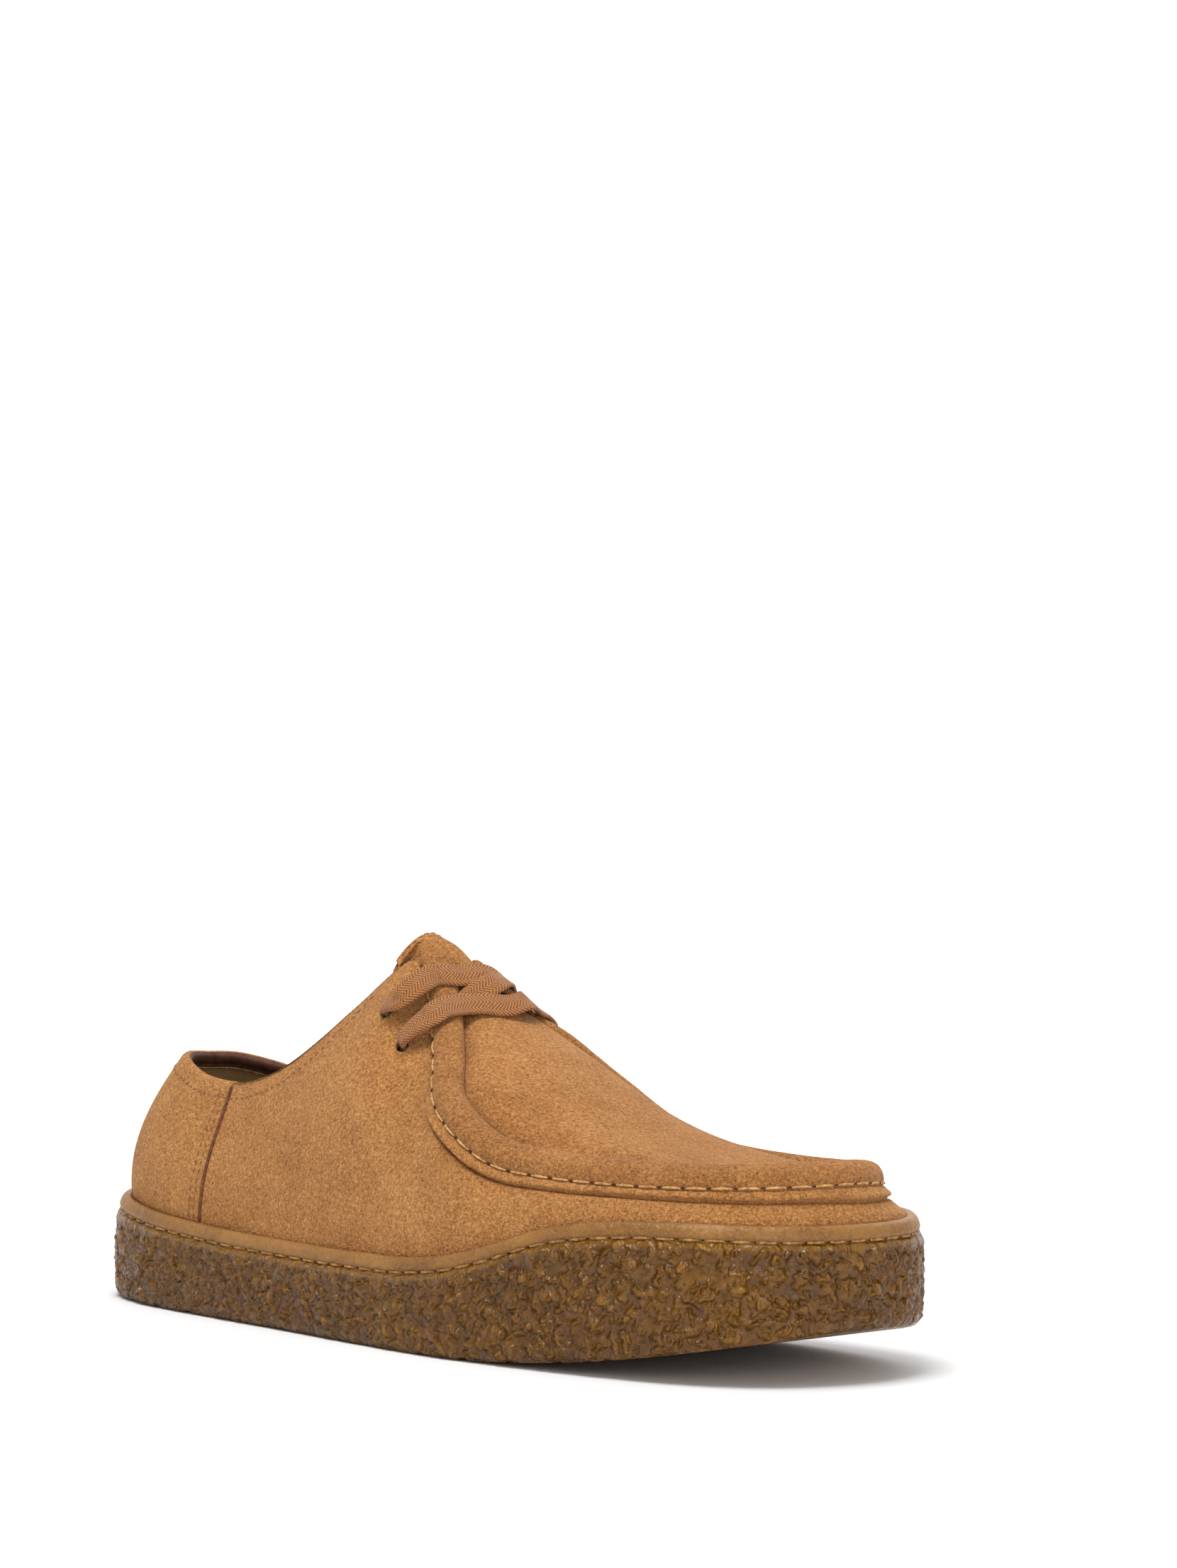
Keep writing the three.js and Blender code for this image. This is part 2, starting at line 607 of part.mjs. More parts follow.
// Lacing over the throat. Each row stands in the seam frame of its rib: across it in
// ROLL_WIDTH, out of it in ROLL_HEIGHT, and how wide the lace lies there, in LACE_WIDTH.
const FRONT_BAR = table('rib across out wide', [
  [11.33, -0.82, 0.30, 0.75],
  [11.24, -0.27, 0.82, 0.95],
  [11.01, 0.26, 0.92, 1.00],
  [10.85, 0.86, 0.85, 1.00],
  [10.76, 1.73, 0.93, 1.00],
  [10.72, 2.70, 1.02, 1.00],
]);
const TOP_BAR = table('rib across out wide', [
  [10.48, -1.35, 0.08, 0.75],
  [10.29, -0.88, 0.55, 0.90],
  [10.06, -0.37, 0.68, 1.00],
  [9.91, 0.12, 0.70, 1.00],
  [9.92, 1.07, 0.72, 1.00],
]);
const TOP_CROSSING = table('rib across out wide', [
  [9.85, 2.14, 0.74, 1.00],
  [10.60, 1.20, 0.84, 0.90],
]);
const LOWER_CROSSING = table('rib across out wide', [
  [10.14, 2.44, 0.98, 1.00],
  [10.60, 1.20, 0.84, 0.90],
]);
function makeLaces() {
  const laid = (rows, far) => rows.map((row) => {
    const { point, inward, out } = seamFrame(far ? AROUND - row.rib : row.rib);
    point.addScaledVector(inward, row.across * ROLL_WIDTH).addScaledVector(out, row.out * ROLL_HEIGHT);
    return { point, out, wide: row.wide };
  });
  const hole = ({ rib, height }, far) => {
    const g = far ? AROUND - rib : rib;
    const out = wallNormal(g, height + 0.02);
    const lift = LACE_THICK / 2 + 2 * FIT;
    return { point: wall(g, height + 0.02).addScaledVector(out, lift), out, wide: 0.3 };
  };
  const [high, low] = EYELETS;
  const strips = [
    [hole(low, false), ...laid(FRONT_BAR, false), ...laid(FRONT_BAR, true).toReversed(), hole(low, true)],
    [hole(high, false), ...laid(TOP_BAR, false), ...laid(TOP_CROSSING.slice(0, 1), false),
      ...laid(TOP_CROSSING.slice(1), true)],
    [hole(high, true), ...laid(TOP_BAR, true), ...laid(LOWER_CROSSING, false)],
  ];
  return geometryFrom(strips.map((path) => solidOf(ribbon(path))).reduce((all, one) => all.add(one)));
}

const suede = new THREE.MeshStandardMaterial({ color: 0xb07f4c, roughness: 0.95, metalness: 0 });
const darkSuede = new THREE.MeshStandardMaterial({ color: 0xa3713f, roughness: 0.95, metalness: 0 });
const crepe = new THREE.MeshStandardMaterial({ color: 0x6f5630, roughness: 0.5, metalness: 0 });
const textile = new THREE.MeshStandardMaterial({ color: 0x8b7a4c, roughness: 0.95, metalness: 0 });
const weave = new THREE.MeshStandardMaterial({ color: 0x8f6238, roughness: 0.9, metalness: 0 });

const shoe = new THREE.Group();
const midY = (Math.max(...OUTLINE_POINTS.map((p) => p.y)) + Math.min(...OUTLINE_POINTS.map((p) => p.y))) / 2;
shoe.position.set(-LENGTH / 2, -midY, 0);

function add(name, geometry, material) {
  const mesh = new THREE.Mesh(geometry, material);
  mesh.name = name;
  shoe.add(mesh);
}
add('sole', makeSole(), crepe);
add('insole', makeInsole(), textile);
add('upper', makeUpper(), suede);
add('heel_counter', makeCounter(), suede);
add('apron_tongue', makeApron(), darkSuede);
add('moccasin_roll', makeRoll(), suede);
add('laces', makeLaces(), weave);

export default shoe;
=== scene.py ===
# %% [markdown]
# # A lace-up moccasin on a crepe sole
#
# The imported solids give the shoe's size and place. This lesson dresses them: it builds each
# visible piece on the same last, gives it suede, crepe, cloth or thread, and lights it.
#
# On the real object everything follows one last, a wooden foot. So the script also starts from
# one description of it, and every piece asks that description where it lies.

import math

import bpy
import numpy as np
from mathutils import Matrix, Vector, noise


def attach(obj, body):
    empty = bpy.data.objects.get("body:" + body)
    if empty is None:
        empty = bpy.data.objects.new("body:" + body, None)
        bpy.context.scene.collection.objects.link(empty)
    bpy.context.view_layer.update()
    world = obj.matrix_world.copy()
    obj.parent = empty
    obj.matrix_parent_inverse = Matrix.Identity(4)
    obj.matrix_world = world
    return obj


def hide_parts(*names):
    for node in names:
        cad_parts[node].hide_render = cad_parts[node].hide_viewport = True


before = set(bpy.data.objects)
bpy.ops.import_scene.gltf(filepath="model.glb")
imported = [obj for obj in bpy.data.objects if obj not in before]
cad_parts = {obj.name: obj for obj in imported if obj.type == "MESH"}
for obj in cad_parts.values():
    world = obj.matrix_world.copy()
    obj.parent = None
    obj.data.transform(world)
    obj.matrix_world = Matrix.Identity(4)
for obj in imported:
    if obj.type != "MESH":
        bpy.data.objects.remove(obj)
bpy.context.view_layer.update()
print("solids:", sorted(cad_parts))

# %% [markdown]
# ## Sizes
#
# Lengths in this part of the script are millimetres on the shoe: x from the back of the heel, y
# to the inner side and z from the floor. The tables hold shares of the named sizes, as a shoe
# pattern is graded from a few measures.

# %% Driving sizes
LENGTH = 300
BALL_WIDTH = 112
SOLE_HEIGHT = 38
TOE_SPRING = 15
INSTEP_RISE = 95
BAND_HEIGHT = 4.3
UPPER_INSET = 5.2
FOOT_DROP = 1.5
WALL_SWELL = 1
HEEL_SWELL = 2.1
UPPER_WALL = 2.0
COUNTER_WALL = 1.5
LIP_STEP = 1.3
ROLL_WIDTH = 8.0
ROLL_HEIGHT = 6.0
LACE_WIDTH = 8.5
LACE_THICK = 1.3
EYELET_BORE = 3.9
TREAD_DEPTH = 1.6
TREAD_WIDTH = 3.2
TREAD_PITCH = 16.5
MM = 0.001

# x, half width to the outer side, half width to the inner side
OUTLINE = [
    (0.012, 0.125, 0.130), (0.050, 0.251, 0.250), (0.130, 0.343, 0.335), (0.250, 0.388, 0.355),
    (0.380, 0.424, 0.345), (0.500, 0.464, 0.365), (0.620, 0.488, 0.430), (0.720, 0.470, 0.478),
    (0.820, 0.437, 0.475), (0.900, 0.384, 0.445), (0.960, 0.278, 0.327), (0.990, 0.131, 0.208),
]
TOE_TIP = 0.055

# x, height of the stitch groove, height of the cup floor
SIDE = [
    (0.00, 0.763, 0.526), (0.12, 0.663, 0.500), (0.26, 0.592, 0.440), (0.38, 0.571, 0.385),
    (0.48, 0.571, 0.368), (0.58, 0.595, 0.378), (0.63, 0.647, 0.387), (0.68, 0.745, 0.395),
    (0.74, 0.895, 0.420), (0.82, 0.997, 0.500), (0.91, 1.026, 0.610), (1.00, 1.016, 0.730),
]

# place along the outline, outer top edge x y z, inner top edge x y z, lean of the wall in degrees
RIBS = [
    (0.000, 0.082, 0.000, 0.659, 0.082, 0.000, 0.659, 36),
    (0.060, 0.093, -0.096, 0.663, 0.095, 0.086, 0.655, 35),
    (0.120, 0.122, -0.170, 0.645, 0.123, 0.156, 0.629, 31),
    (0.190, 0.172, -0.214, 0.601, 0.168, 0.202, 0.592, 25),
    (0.250, 0.230, -0.232, 0.588, 0.223, 0.223, 0.579, 17),
    (0.310, 0.280, -0.244, 0.619, 0.277, 0.232, 0.611, 18),
    (0.360, 0.317, -0.241, 0.668, 0.313, 0.228, 0.668, 22),
    (0.405, 0.352, -0.223, 0.744, 0.350, 0.214, 0.744, 30),
    (0.440, 0.388, -0.183, 0.848, 0.388, 0.179, 0.840, 40),
    (0.470, 0.437, -0.103, 1.001, 0.437, 0.098, 0.950, 50),
    (0.505, 0.472, -0.134, 0.911, 0.472, 0.129, 0.868, 50),
    (0.535, 0.498, -0.179, 0.816, 0.498, 0.170, 0.785, 47),
    (0.565, 0.532, -0.256, 0.705, 0.532, 0.241, 0.705, 40),
    (0.595, 0.570, -0.348, 0.577, 0.570, 0.312, 0.584, 30),
    (0.630, 0.620, -0.384, 0.477, 0.617, 0.344, 0.474, 22),
    (0.670, 0.665, -0.379, 0.415, 0.663, 0.362, 0.402, 20),
    (0.720, 0.723, -0.362, 0.394, 0.722, 0.378, 0.373, 20),
    (0.790, 0.802, -0.339, 0.388, 0.802, 0.373, 0.364, 20),
    (0.860, 0.875, -0.299, 0.391, 0.873, 0.339, 0.369, 20),
    (0.920, 0.927, -0.223, 0.397, 0.923, 0.263, 0.382, 20),
    (0.965, 0.955, -0.112, 0.402, 0.953, 0.165, 0.396, 20),
    (1.000, 0.965, 0.036, 0.404, 0.965, 0.036, 0.404, 20),
]
TAB = 9
TOE = len(RIBS) - 1
AROUND = 2 * TOE

# rib, x of the spine, height of the plug's edge over the seam
SPINE = [
    (5, 0.419, 0), (6, 0.423, 0), (7, 0.427, 0), (8, 0.432, 0),
    (9, 0.437, -1.20), (10, 0.470, -0.90), (11, 0.500, -0.80), (12, 0.533, -0.25),
    (13, 0.573, 0.15), (14, 0.617, 0.42), (15, 0.663, 0.55), (16, 0.720, 0.60),
    (17, 0.783, 0.62), (18, 0.830, 0.62), (19, 0.860, 0.62), (20, 0.877, 0.62), (21, 0.883, 0.62),
]

# x, height of the spine
RIDGE = [
    (0.413, 1.076), (0.423, 1.075), (0.437, 1.063), (0.460, 1.033), (0.487, 0.956), (0.513, 0.888),
    (0.540, 0.835), (0.573, 0.776), (0.613, 0.705), (0.660, 0.624), (0.720, 0.541), (0.787, 0.480),
    (0.847, 0.447), (0.887, 0.437), (0.917, 0.433),
]

# rib, edge of the tongue x y z
TONGUE = [
    (5, 0.415, 0.112, 0.993), (6, 0.421, 0.116, 0.972),
    (7, 0.417, 0.112, 0.936), (8, 0.415, 0.114, 0.900),
]

# %% [markdown]
# ## The last
#
# Three helpers describe it. `outline` walks round the sole, `wall` climbs from the sole's rim to
# the collar, throat or moccasin seam, and `plug` spans the top between the seams. They take
# whole arrays, so that a fine mesh takes no longer to write than a coarse one.

# %% Smooth curves through the tables
def hermite(t, start, leave, end, arrive):
    """Cubic from start to end that leaves and arrives with the slopes given."""
    return ((2 * t**3 - 3 * t**2 + 1) * start + (t**3 - 2 * t**2 + t) * leave
            + (3 * t**2 - 2 * t**3) * end + (t**3 - t**2) * arrive)


def catmull(t, before, start, end, after):
    """Cubic from start to end that heads past its neighbours."""
    bend = t * (3 * (start - end) + after - before)
    return start + 0.5 * t * (end - before + t * (2 * before - 5 * start + 4 * end - after + bend))


def smooth(rows, at, column=1):
    """Value of a column at `at` on the first column, by a smooth curve through the rows."""
    xs = np.array([row[0] for row in rows], float)
    ys = np.array([row[column] for row in rows], float)
    gap = np.diff(xs)
    rise = np.diff(ys) / gap
    inner = (rise[:-1] * gap[1:] + rise[1:] * gap[:-1]) / (gap[1:] + gap[:-1])
    slope = np.concatenate([rise[:1], inner, rise[-1:]])
    at = np.asarray(at, float)
    i = np.clip(np.searchsorted(xs, at, side="right") - 1, 0, len(xs) - 2)
    t = np.clip((at - xs[i]) / gap[i], 0, 1)
    return hermite(t, ys[i], gap[i] * slope[i], ys[i + 1], gap[i] * slope[i + 1])


def ease(value, low, high):
    """0 below low, 1 above high, soft between."""
    t = np.clip((np.asarray(value, float) - low) / (high - low), 0, 1)
    return t * t * (3 - 2 * t)


def length(vectors):
    return np.linalg.norm(vectors, axis=-1)


def unit(vectors):
    return vectors / length(vectors)[..., None]


def dot(a, b):
    return (a * b).sum(-1, keepdims=True)


def closed_curve(corners, steps):
    """A closed centripetal Catmull-Rom curve, `steps` points to a corner."""
    corners = np.array(corners, float)
    before, after, far = (np.roll(corners, shift, 0) for shift in (1, -1, -2))
    runs = []
    for p0, p1, p2, p3 in zip(before, corners, after, far):
        d1, d2, d3 = (length(b - a) ** 0.5 for a, b in ((p0, p1), (p1, p2), (p2, p3)))
        start = ((p1 - p0) / d1 - (p2 - p0) / (d1 + d2) + (p2 - p1) / d2) * d2
        end = ((p2 - p1) / d2 - (p3 - p1) / (d2 + d3) + (p3 - p2) / d3) * d2
        t = (np.arange(steps) / steps)[:, None]
        runs.append(hermite(t, p1, start, p2, end))
    return np.concatenate(runs)


def run_of(points):
    """Length from the first point to each."""
    return np.concatenate([[0], np.cumsum(length(np.diff(points, axis=0)))])


def evenly(points, count):
    """The same run of points, spaced evenly by length."""
    run = run_of(points)
    goal = np.linspace(0, run[-1], count)
    return np.stack([np.interp(goal, run, points[:, k]) for k in range(points.shape[1])], 1)


# %% Outline and heights of the sole
HALF_STEPS = 400
CORNER_STEPS = 40
BALL_AT = 0.62
corners = [(0, 0)] + [(x * LENGTH, -outer * BALL_WIDTH) for x, outer, _ in OUTLINE]
corners += [(LENGTH, TOE_TIP * BALL_WIDTH)]
corners += [(x * LENGTH, inner * BALL_WIDTH) for x, _, inner in reversed(OUTLINE)]
loop = closed_curve(corners, CORNER_STEPS)
toe_at = (len(OUTLINE) + 1) * CORNER_STEPS
outer_half = evenly(loop[:toe_at + 1], HALF_STEPS + 1)[:-1]
inner_half = evenly(np.concatenate([loop[toe_at:], loop[:1]]), HALF_STEPS + 1)[:-1]
loop = np.concatenate([outer_half, inner_half])
tangents = unit(np.roll(loop, -3, 0) - np.roll(loop, 2, 0))
MID_Y = (loop[:, 1].max() + loop[:, 1].min()) / 2


def outline(along, inset):
    """Points at a share of the way round, 0 at the heel and 1 at the toe, and the way outward."""
    along = np.asarray(along, float)
    place = along * HALF_STEPS
    i = np.floor(place).astype(int)
    t = (place - i)[..., None]
    tangent = tangents[i % len(loop)]
    outward = np.stack([tangent[..., 1], -tangent[..., 0], 0 * along], -1)
    flat = loop[i % len(loop)] * (1 - t) + loop[(i + 1) % len(loop)] * t
    point = np.concatenate([flat, 0 * along[..., None]], -1)
    return point - outward * np.asarray(inset, float)[..., None], outward


def tread(x):
    """Height of the tread, which lifts from the ball on."""
    return TOE_SPRING * np.clip((x / LENGTH - BALL_AT) / (1 - BALL_AT), 0, None) ** 1.8


def groove(x):
    return SOLE_HEIGHT * smooth(SIDE, x / LENGTH)


def cup_floor(x):
    return SOLE_HEIGHT * smooth(SIDE, x / LENGTH, 2)


DATUM = float(cup_floor(LENGTH / 2))


def ridge(x):
    return DATUM + INSTEP_RISE * smooth(RIDGE, x / LENGTH)


print("outline", len(loop), "points, middle y", round(MID_Y, 3))

# %% The wall between rim and top edge
def ring_row(g):
    """A rib's numbers in millimetres and radians, counted once round the shoe."""
    rib = RIBS[g if g <= TOE else AROUND - g]
    x, y, z = rib[1:4] if g <= TOE else rib[4:7]
    along = rib[0] if g <= TOE else 2 - rib[0]
    return along, x * LENGTH, y * BALL_WIDTH, DATUM + z * INSTEP_RISE, math.radians(rib[7])


RING = np.array([ring_row(g) for g in range(AROUND)])


def edge_rows(g):
    """Place along, top edge x y z and lean at ring positions g, counted in ribs."""
    g = np.asarray(g, float)
    i = np.floor(g).astype(int)
    t = (g - i)[..., None]
    rows = []
    for step in (-1, 0, 1, 2):
        row = RING[(i + step) % AROUND].copy()
        row[..., 0] += 2 * ((i + step) // AROUND)
        rows.append(row)
    return catmull(t, *rows)


def edge_point(g):
    return edge_rows(g)[..., 1:4]


def rib_of(g):
    place = np.mod(g, AROUND)
    return np.where(place <= TOE, place, AROUND - place)


def wall(g, v):
    """Point of the last: v = 0 at the rim of the sole, v = 1 at the top edge."""
    g, v = np.broadcast_arrays(np.asarray(g, float), np.asarray(v, float))
    row = edge_rows(g)
    foot, outward = outline(row[..., 0], np.full(g.shape, UPPER_INSET))
    foot[..., 2] = groove(foot[..., 0]) + BAND_HEIGHT - FOOT_DROP
    top = row[..., 1:4]
    lean = row[..., 4:5]
    rise = top[..., 2:3] - foot[..., 2:3]
    up = np.array([0, 0, 1.0])
    swell = WALL_SWELL + HEEL_SWELL * ease(1 - foot[..., 0:1] / LENGTH, 0.75, 1)
    low = foot + outward * swell + up * 0.40 * rise
    high = top - up * 0.34 * rise * np.cos(lean) + outward * 0.34 * rise * np.sin(lean)
    v = v[..., None]
    return (1 - v)**3 * foot + 3 * (1 - v)**2 * v * low + 3 * (1 - v) * v * v * high + v**3 * top


def wall_normal(g, v):
    across = wall(np.asarray(g) + 0.05, v) - wall(np.asarray(g) - 0.05, v)
    up = wall(g, np.asarray(v) + 0.01) - wall(g, np.asarray(v) - 0.01)
    return unit(np.cross(across, up))


def off_wall(g, v, offset):
    """Point of the wall, raised off the last."""
    return wall(g, v) + wall_normal(g, v) * np.asarray(offset + 0 * g)[..., None]


def wall_below(g, down):
    """The v that lies a length below the top edge, measured square to it."""
    g = np.asarray(g, float)
    column = wall(g, 0.9) - wall(g, 1)
    along = edge_point(g + 0.1) - edge_point(g - 0.1)
    turn = length(np.cross(unit(column), unit(along)))
    return 1 - down / (length(wall(g, 0) - wall(g, 1)) * np.maximum(turn, 0.6))


# %% Plug, tongue and seam frame
EDGE_SETBACK = 3.1
TAB_OVERLAP = 3.5
VALLEY = 2.6
TOE_VALLEY = 2.0


def spine(rib):
    """Point of the line along the top of the foot."""
    x = LENGTH * smooth(SPINE, rib)
    return np.stack([x, 0 * x, ridge(x)], -1)


def seam_frame(g):
    """The seam's point, the way in over the plug and the way out of it."""
    g = np.asarray(g, float)
    point = edge_point(g)
    tangent = unit(edge_point(g + 0.25) - edge_point(g - 0.25))
    inward = spine(rib_of(g)) - point
    inward = unit(inward - dot(inward, tangent) * tangent)
    out = np.cross(tangent, inward)
    return point, inward, np.where(out[..., 2:3] < 0, -out, out)


def at_seam(g, across, out):
    """A point given by its place in the seam's frame."""
    point, inward, outward = seam_frame(g)
    return point + inward * np.asarray(across)[..., None] + outward * np.asarray(out)[..., None]


def setback(rib):
    """How far inside the seam the plug's edge runs; under the lacing tabs it runs outside."""
    return EDGE_SETBACK - (EDGE_SETBACK + TAB_OVERLAP) * (1 - ease(rib, 10.4, 12.2))


def plug_edge(rib, side):
    """Edge of plug and tongue: free above the tabs, held by the seam from there on."""
    rib = np.asarray(rib, float)
    held = np.maximum(rib, TAB)
    lift = ROLL_HEIGHT * smooth(SPINE[4:], held, 2)
    seam = at_seam(np.where(side < 0, held, AROUND - held), setback(held), lift)
    tab = at_seam(TAB if side < 0 else AROUND - TAB, setback(TAB), ROLL_HEIGHT * SPINE[4][2])
    rows = [(r, x * LENGTH, side * y * BALL_WIDTH, DATUM + z * INSTEP_RISE) for r, x, y, z in TONGUE]
    rows.append((TAB, *tab))
    free = np.stack([smooth(rows, rib, k) for k in (1, 2, 3)], -1)
    return np.where(rib[..., None] < TAB, free, seam)


def plug(rib, side, s):
    """Point of plug or tongue: s = 0 at its edge, s = 1 on the spine.

    Beside the roll the suede is drawn down into a valley.
    """
    edge = plug_edge(rib, side)
    crown = spine(rib)
    s = np.asarray(s, float)[..., None]
    point = edge + (crown - edge) * s
    power = 1.9 + 0.3 * ease(rib, 10.4, 12.6)[..., None]
    lift = crown[..., 2:3] + (edge[..., 2:3] - crown[..., 2:3]) * (1 - s) ** power
    reach = length(crown - edge)[..., None]
    depth = VALLEY * ease(reach, 12, 30) + TOE_VALLEY * ease(rib, 14, 18)[..., None]
    dip = depth * (1 - ease(s * reach, 5, 15))
    return np.concatenate([point[..., :2], lift - dip], -1)


def roll_height(g):
    """The roll is half as high on the lacing tabs as round the toe."""
    return ROLL_HEIGHT * (0.5 + 0.5 * ease(rib_of(g), 9.5, 15))


print("tab tops at", edge_point(np.array([9.0, 33.0])).round(1).tolist())

# %% [markdown]
# ## From a table of points to a mesh
#
# Every soft piece here is a sheet or a tube, so each starts as Blender's own grid primitive. Its
# corners are then laid on the last, and edges that meet are merged. The grid brings a UV map,
# which is rewritten in metres along and across the piece, so that weaves and stitches keep
# their real size however the piece bends.

# %% Lay a grid on the last
def to_frame(points):
    """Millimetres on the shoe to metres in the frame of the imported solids."""
    return (np.asarray(points, float) - [LENGTH / 2, MID_Y, 0]) * MM


def only(piece):
    bpy.ops.object.select_all(action="DESELECT")
    piece.select_set(True)
    bpy.context.view_layer.objects.active = piece


def lay_grid(name, points, bands=None, marks=None):
    """A grid primitive whose corners lie at points[row, column], merged where its edges meet.

    `bands` may give the number of the material for each row of faces, and `marks` numbers
    that a material reads at each point.
    """
    points = np.asarray(points, float)
    rows, columns = points.shape[:2]
    bpy.ops.mesh.primitive_grid_add(x_subdivisions=columns - 1, y_subdivisions=rows - 1, size=1)
    piece = bpy.context.object
    piece.name = piece.data.name = name
    mesh = piece.data
    flat = np.zeros(len(mesh.vertices) * 3)
    mesh.vertices.foreach_get("co", flat)
    flat = flat.reshape(-1, 3)
    i = np.rint((flat[:, 0] + 0.5) * (columns - 1)).astype(int)
    j = np.rint((flat[:, 1] + 0.5) * (rows - 1)).astype(int)
    mesh.vertices.foreach_set("co", to_frame(points[j, i]).ravel())
    u = np.concatenate([[0], np.cumsum(length(np.diff(points, axis=1)).max(0))])
    v = np.concatenate([[0], np.cumsum(length(np.diff(points, axis=0)).mean(1))])
    uv = np.stack(np.meshgrid(u, v), -1)
    corner_of = np.zeros(len(mesh.loops), int)
    mesh.loops.foreach_get("vertex_index", corner_of)
    mesh.uv_layers[0].data.foreach_set("uv", (uv[j, i][corner_of] * MM).ravel())
    if bands is not None:
        row_of = j[corner_of].reshape(-1, 4).min(1)
        mesh.polygons.foreach_set("material_index", np.array(bands)[row_of])
    for mark, values in (marks or {}).items():
        mesh.attributes.new(mark, "FLOAT", "POINT").data.foreach_set("value", values[j, i])
    bpy.ops.object.mode_set(mode="EDIT")
    bpy.ops.mesh.select_all(action="SELECT")
    bpy.ops.mesh.remove_doubles(threshold=0.000001)
    bpy.ops.object.mode_set(mode="OBJECT")
    bpy.ops.object.shade_smooth()
    return piece


def thicken(piece, wall):
    """Give a sheet its wall, laid on below it."""
    thick = piece.modifiers.new("thick", "SOLIDIFY")
    thick.thickness = wall * MM
    thick.offset = -1
    only(piece)
    bpy.ops.object.modifier_apply(modifier=thick.name)


def seat(piece, slot, *nodes, finishes=()):
    """Give a piece its finishes; let it ride on the shoe and stand for its solids. The slot is not
    used.
    """
    for finish in finishes:
        piece.data.materials.append(finish)
    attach(piece, "root")
    if nodes:
        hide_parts(*nodes)
    print(piece.name, len(piece.data.polygons), "faces")
    return piece


def rounded_ends(run, dome):
    """Share of full size at each length along a piece, so that its ends close as domes."""
    near = np.minimum(run, run[-1] - run)
    return np.sqrt(1 - (1 - np.clip(near / dome, 0, 1)) ** 2)


def circle(radius, sides=8):
    turns = np.linspace(0, 2 * math.pi, sides + 1)[:-1]
    return [(radius * math.cos(turn), radius * math.sin(turn)) for turn in turns]


def tube(name, path, normals, section, dome, scale=None):
    """A tube of a section (across, out) along a path, closed by domes."""
    path = np.asarray(path, float)
    run = unit(np.gradient(path, axis=0))
    out = unit(normals - dot(normals, run) * run)
    across = np.cross(run, out)
    section = np.asarray(section, float)
    section = np.concatenate([section, section[:1]])
    size = np.ones((len(path), 2)) if scale is None else scale
    size = size * rounded_ends(run_of(path), dome)[:, None]
    rows = [path + across * (a * size[:, :1]) + out * (b * size[:, 1:]) for a, b in section]
    return lay_grid(name, np.array(rows))


# %% [markdown]
# ## Crepe sole
#
# The real sole is one cup of raw crepe rubber. Its side is crinkled all over, with a stitch
# groove near the top and a smoother band that leans in to the upper. The crinkle is deep enough
# to catch light at the outline, so it is real relief here: small cells raise or lower the
# points of the side. A bump alone would leave the edge as smooth as plastic. Two numbers on each
# point of the mesh tell the material how deep a crease is, which it paints as shade in the
# creases, and where the smooth band lies.

# %% Rows of the sole's section
COLUMNS = 880
SIDE_ROWS = 36
EDGE_INSET = 3.3
CUP_INSET = 5.1
TREAD_SPANS = [(0.05, 0.27), (0.60, 0.985)]
around = np.linspace(0, 2, COLUMNS + 1)


def tread_grooves(x):
    cut = np.zeros_like(x)
    for start, end in TREAD_SPANS:
        for middle in np.arange(start * LENGTH, end * LENGTH, TREAD_PITCH):
            away = np.abs(x - middle) / TREAD_WIDTH
            cut = np.maximum(cut, 1 - ease(away, 0.42, 0.58))
    return TREAD_DEPTH * cut


def sole_row(inset, height):
    """A ring at an inset from the outline, never under the tread."""
    point = outline(around, np.full(len(around), inset))[0]
    low = tread(point[:, 0]) + 0.4 * tread_grooves(point[:, 0])
    point[:, 2] = np.maximum(height(point[:, 0]), low)
    return point


def to_middle(row, shares, height):
    """Rows from a ring to the line where its outer and inner halves meet."""
    middle = (row + row[::-1]) / 2
    rows = []
    for share in shares:
        point = middle + (row - middle) * share
        point[:, 2] = height(point[:, 0])
        rows.append(point)
    return rows


under = to_middle(sole_row(EDGE_INSET, tread), np.linspace(0, 1, 14)[:-1],
                  lambda x: tread(x) + tread_grooves(x))
EDGE_ROWS = [(EDGE_INSET, 0), (2.2, 0.25), (1.2, 1.1)]
side = [sole_row(inset, lambda x, up=up: tread(x) + up) for inset, up in EDGE_ROWS]
for share in np.linspace(0, 1, SIDE_ROWS):
    side.append(sole_row(0.45 * (1 - share) ** 3 + 0.35 * share**4,
                         lambda x, k=share: (tread(x) + 2.6) * (1 - k) + (groove(x) - 2.3) * k))
# inset and height over the stitch groove
BAND_ROWS = [(0.6, -1.5), (0.95, -0.9), (1.6, -0.55), (2.1, 0.0), (1.75, 0.5), (1.3, 0.9),
             (1.25, 1.6), (1.6, 2.7), (2.1, 3.6), (2.7, 4.15), (3.6, 4.3), (4.6, 4.25), (5.1, 3.9)]
band = [sole_row(inset, lambda x, up=up: groove(x) + up) for inset, up in BAND_ROWS]
cup = [sole_row(CUP_INSET, cup_floor)]
cup += to_middle(cup[0], np.linspace(1, 0, 6)[1:], cup_floor)
sole_points = np.array(under + side + band + cup)
print("sole rows:", len(under), len(side), len(band), len(cup))


# %% Crinkle the side
def crinkle(x, y, z):
    """Raised cells with creases between, some 3 to 5 mm across and a little slanted."""
    wave = Vector((x, y, z)) * 0.16
    at = Vector((x + 0.5 * z, y, z)) * 0.27 + 0.6 * noise.noise_vector(wave * 3)
    near = noise.voronoi(at)[0]
    cell = min(1.0, 1.7 * (near[1] - near[0]))
    return 0.8 * cell + 0.5 * noise.noise(wave * 1.6) + 0.5 * noise.noise(wave * 5) - 0.4


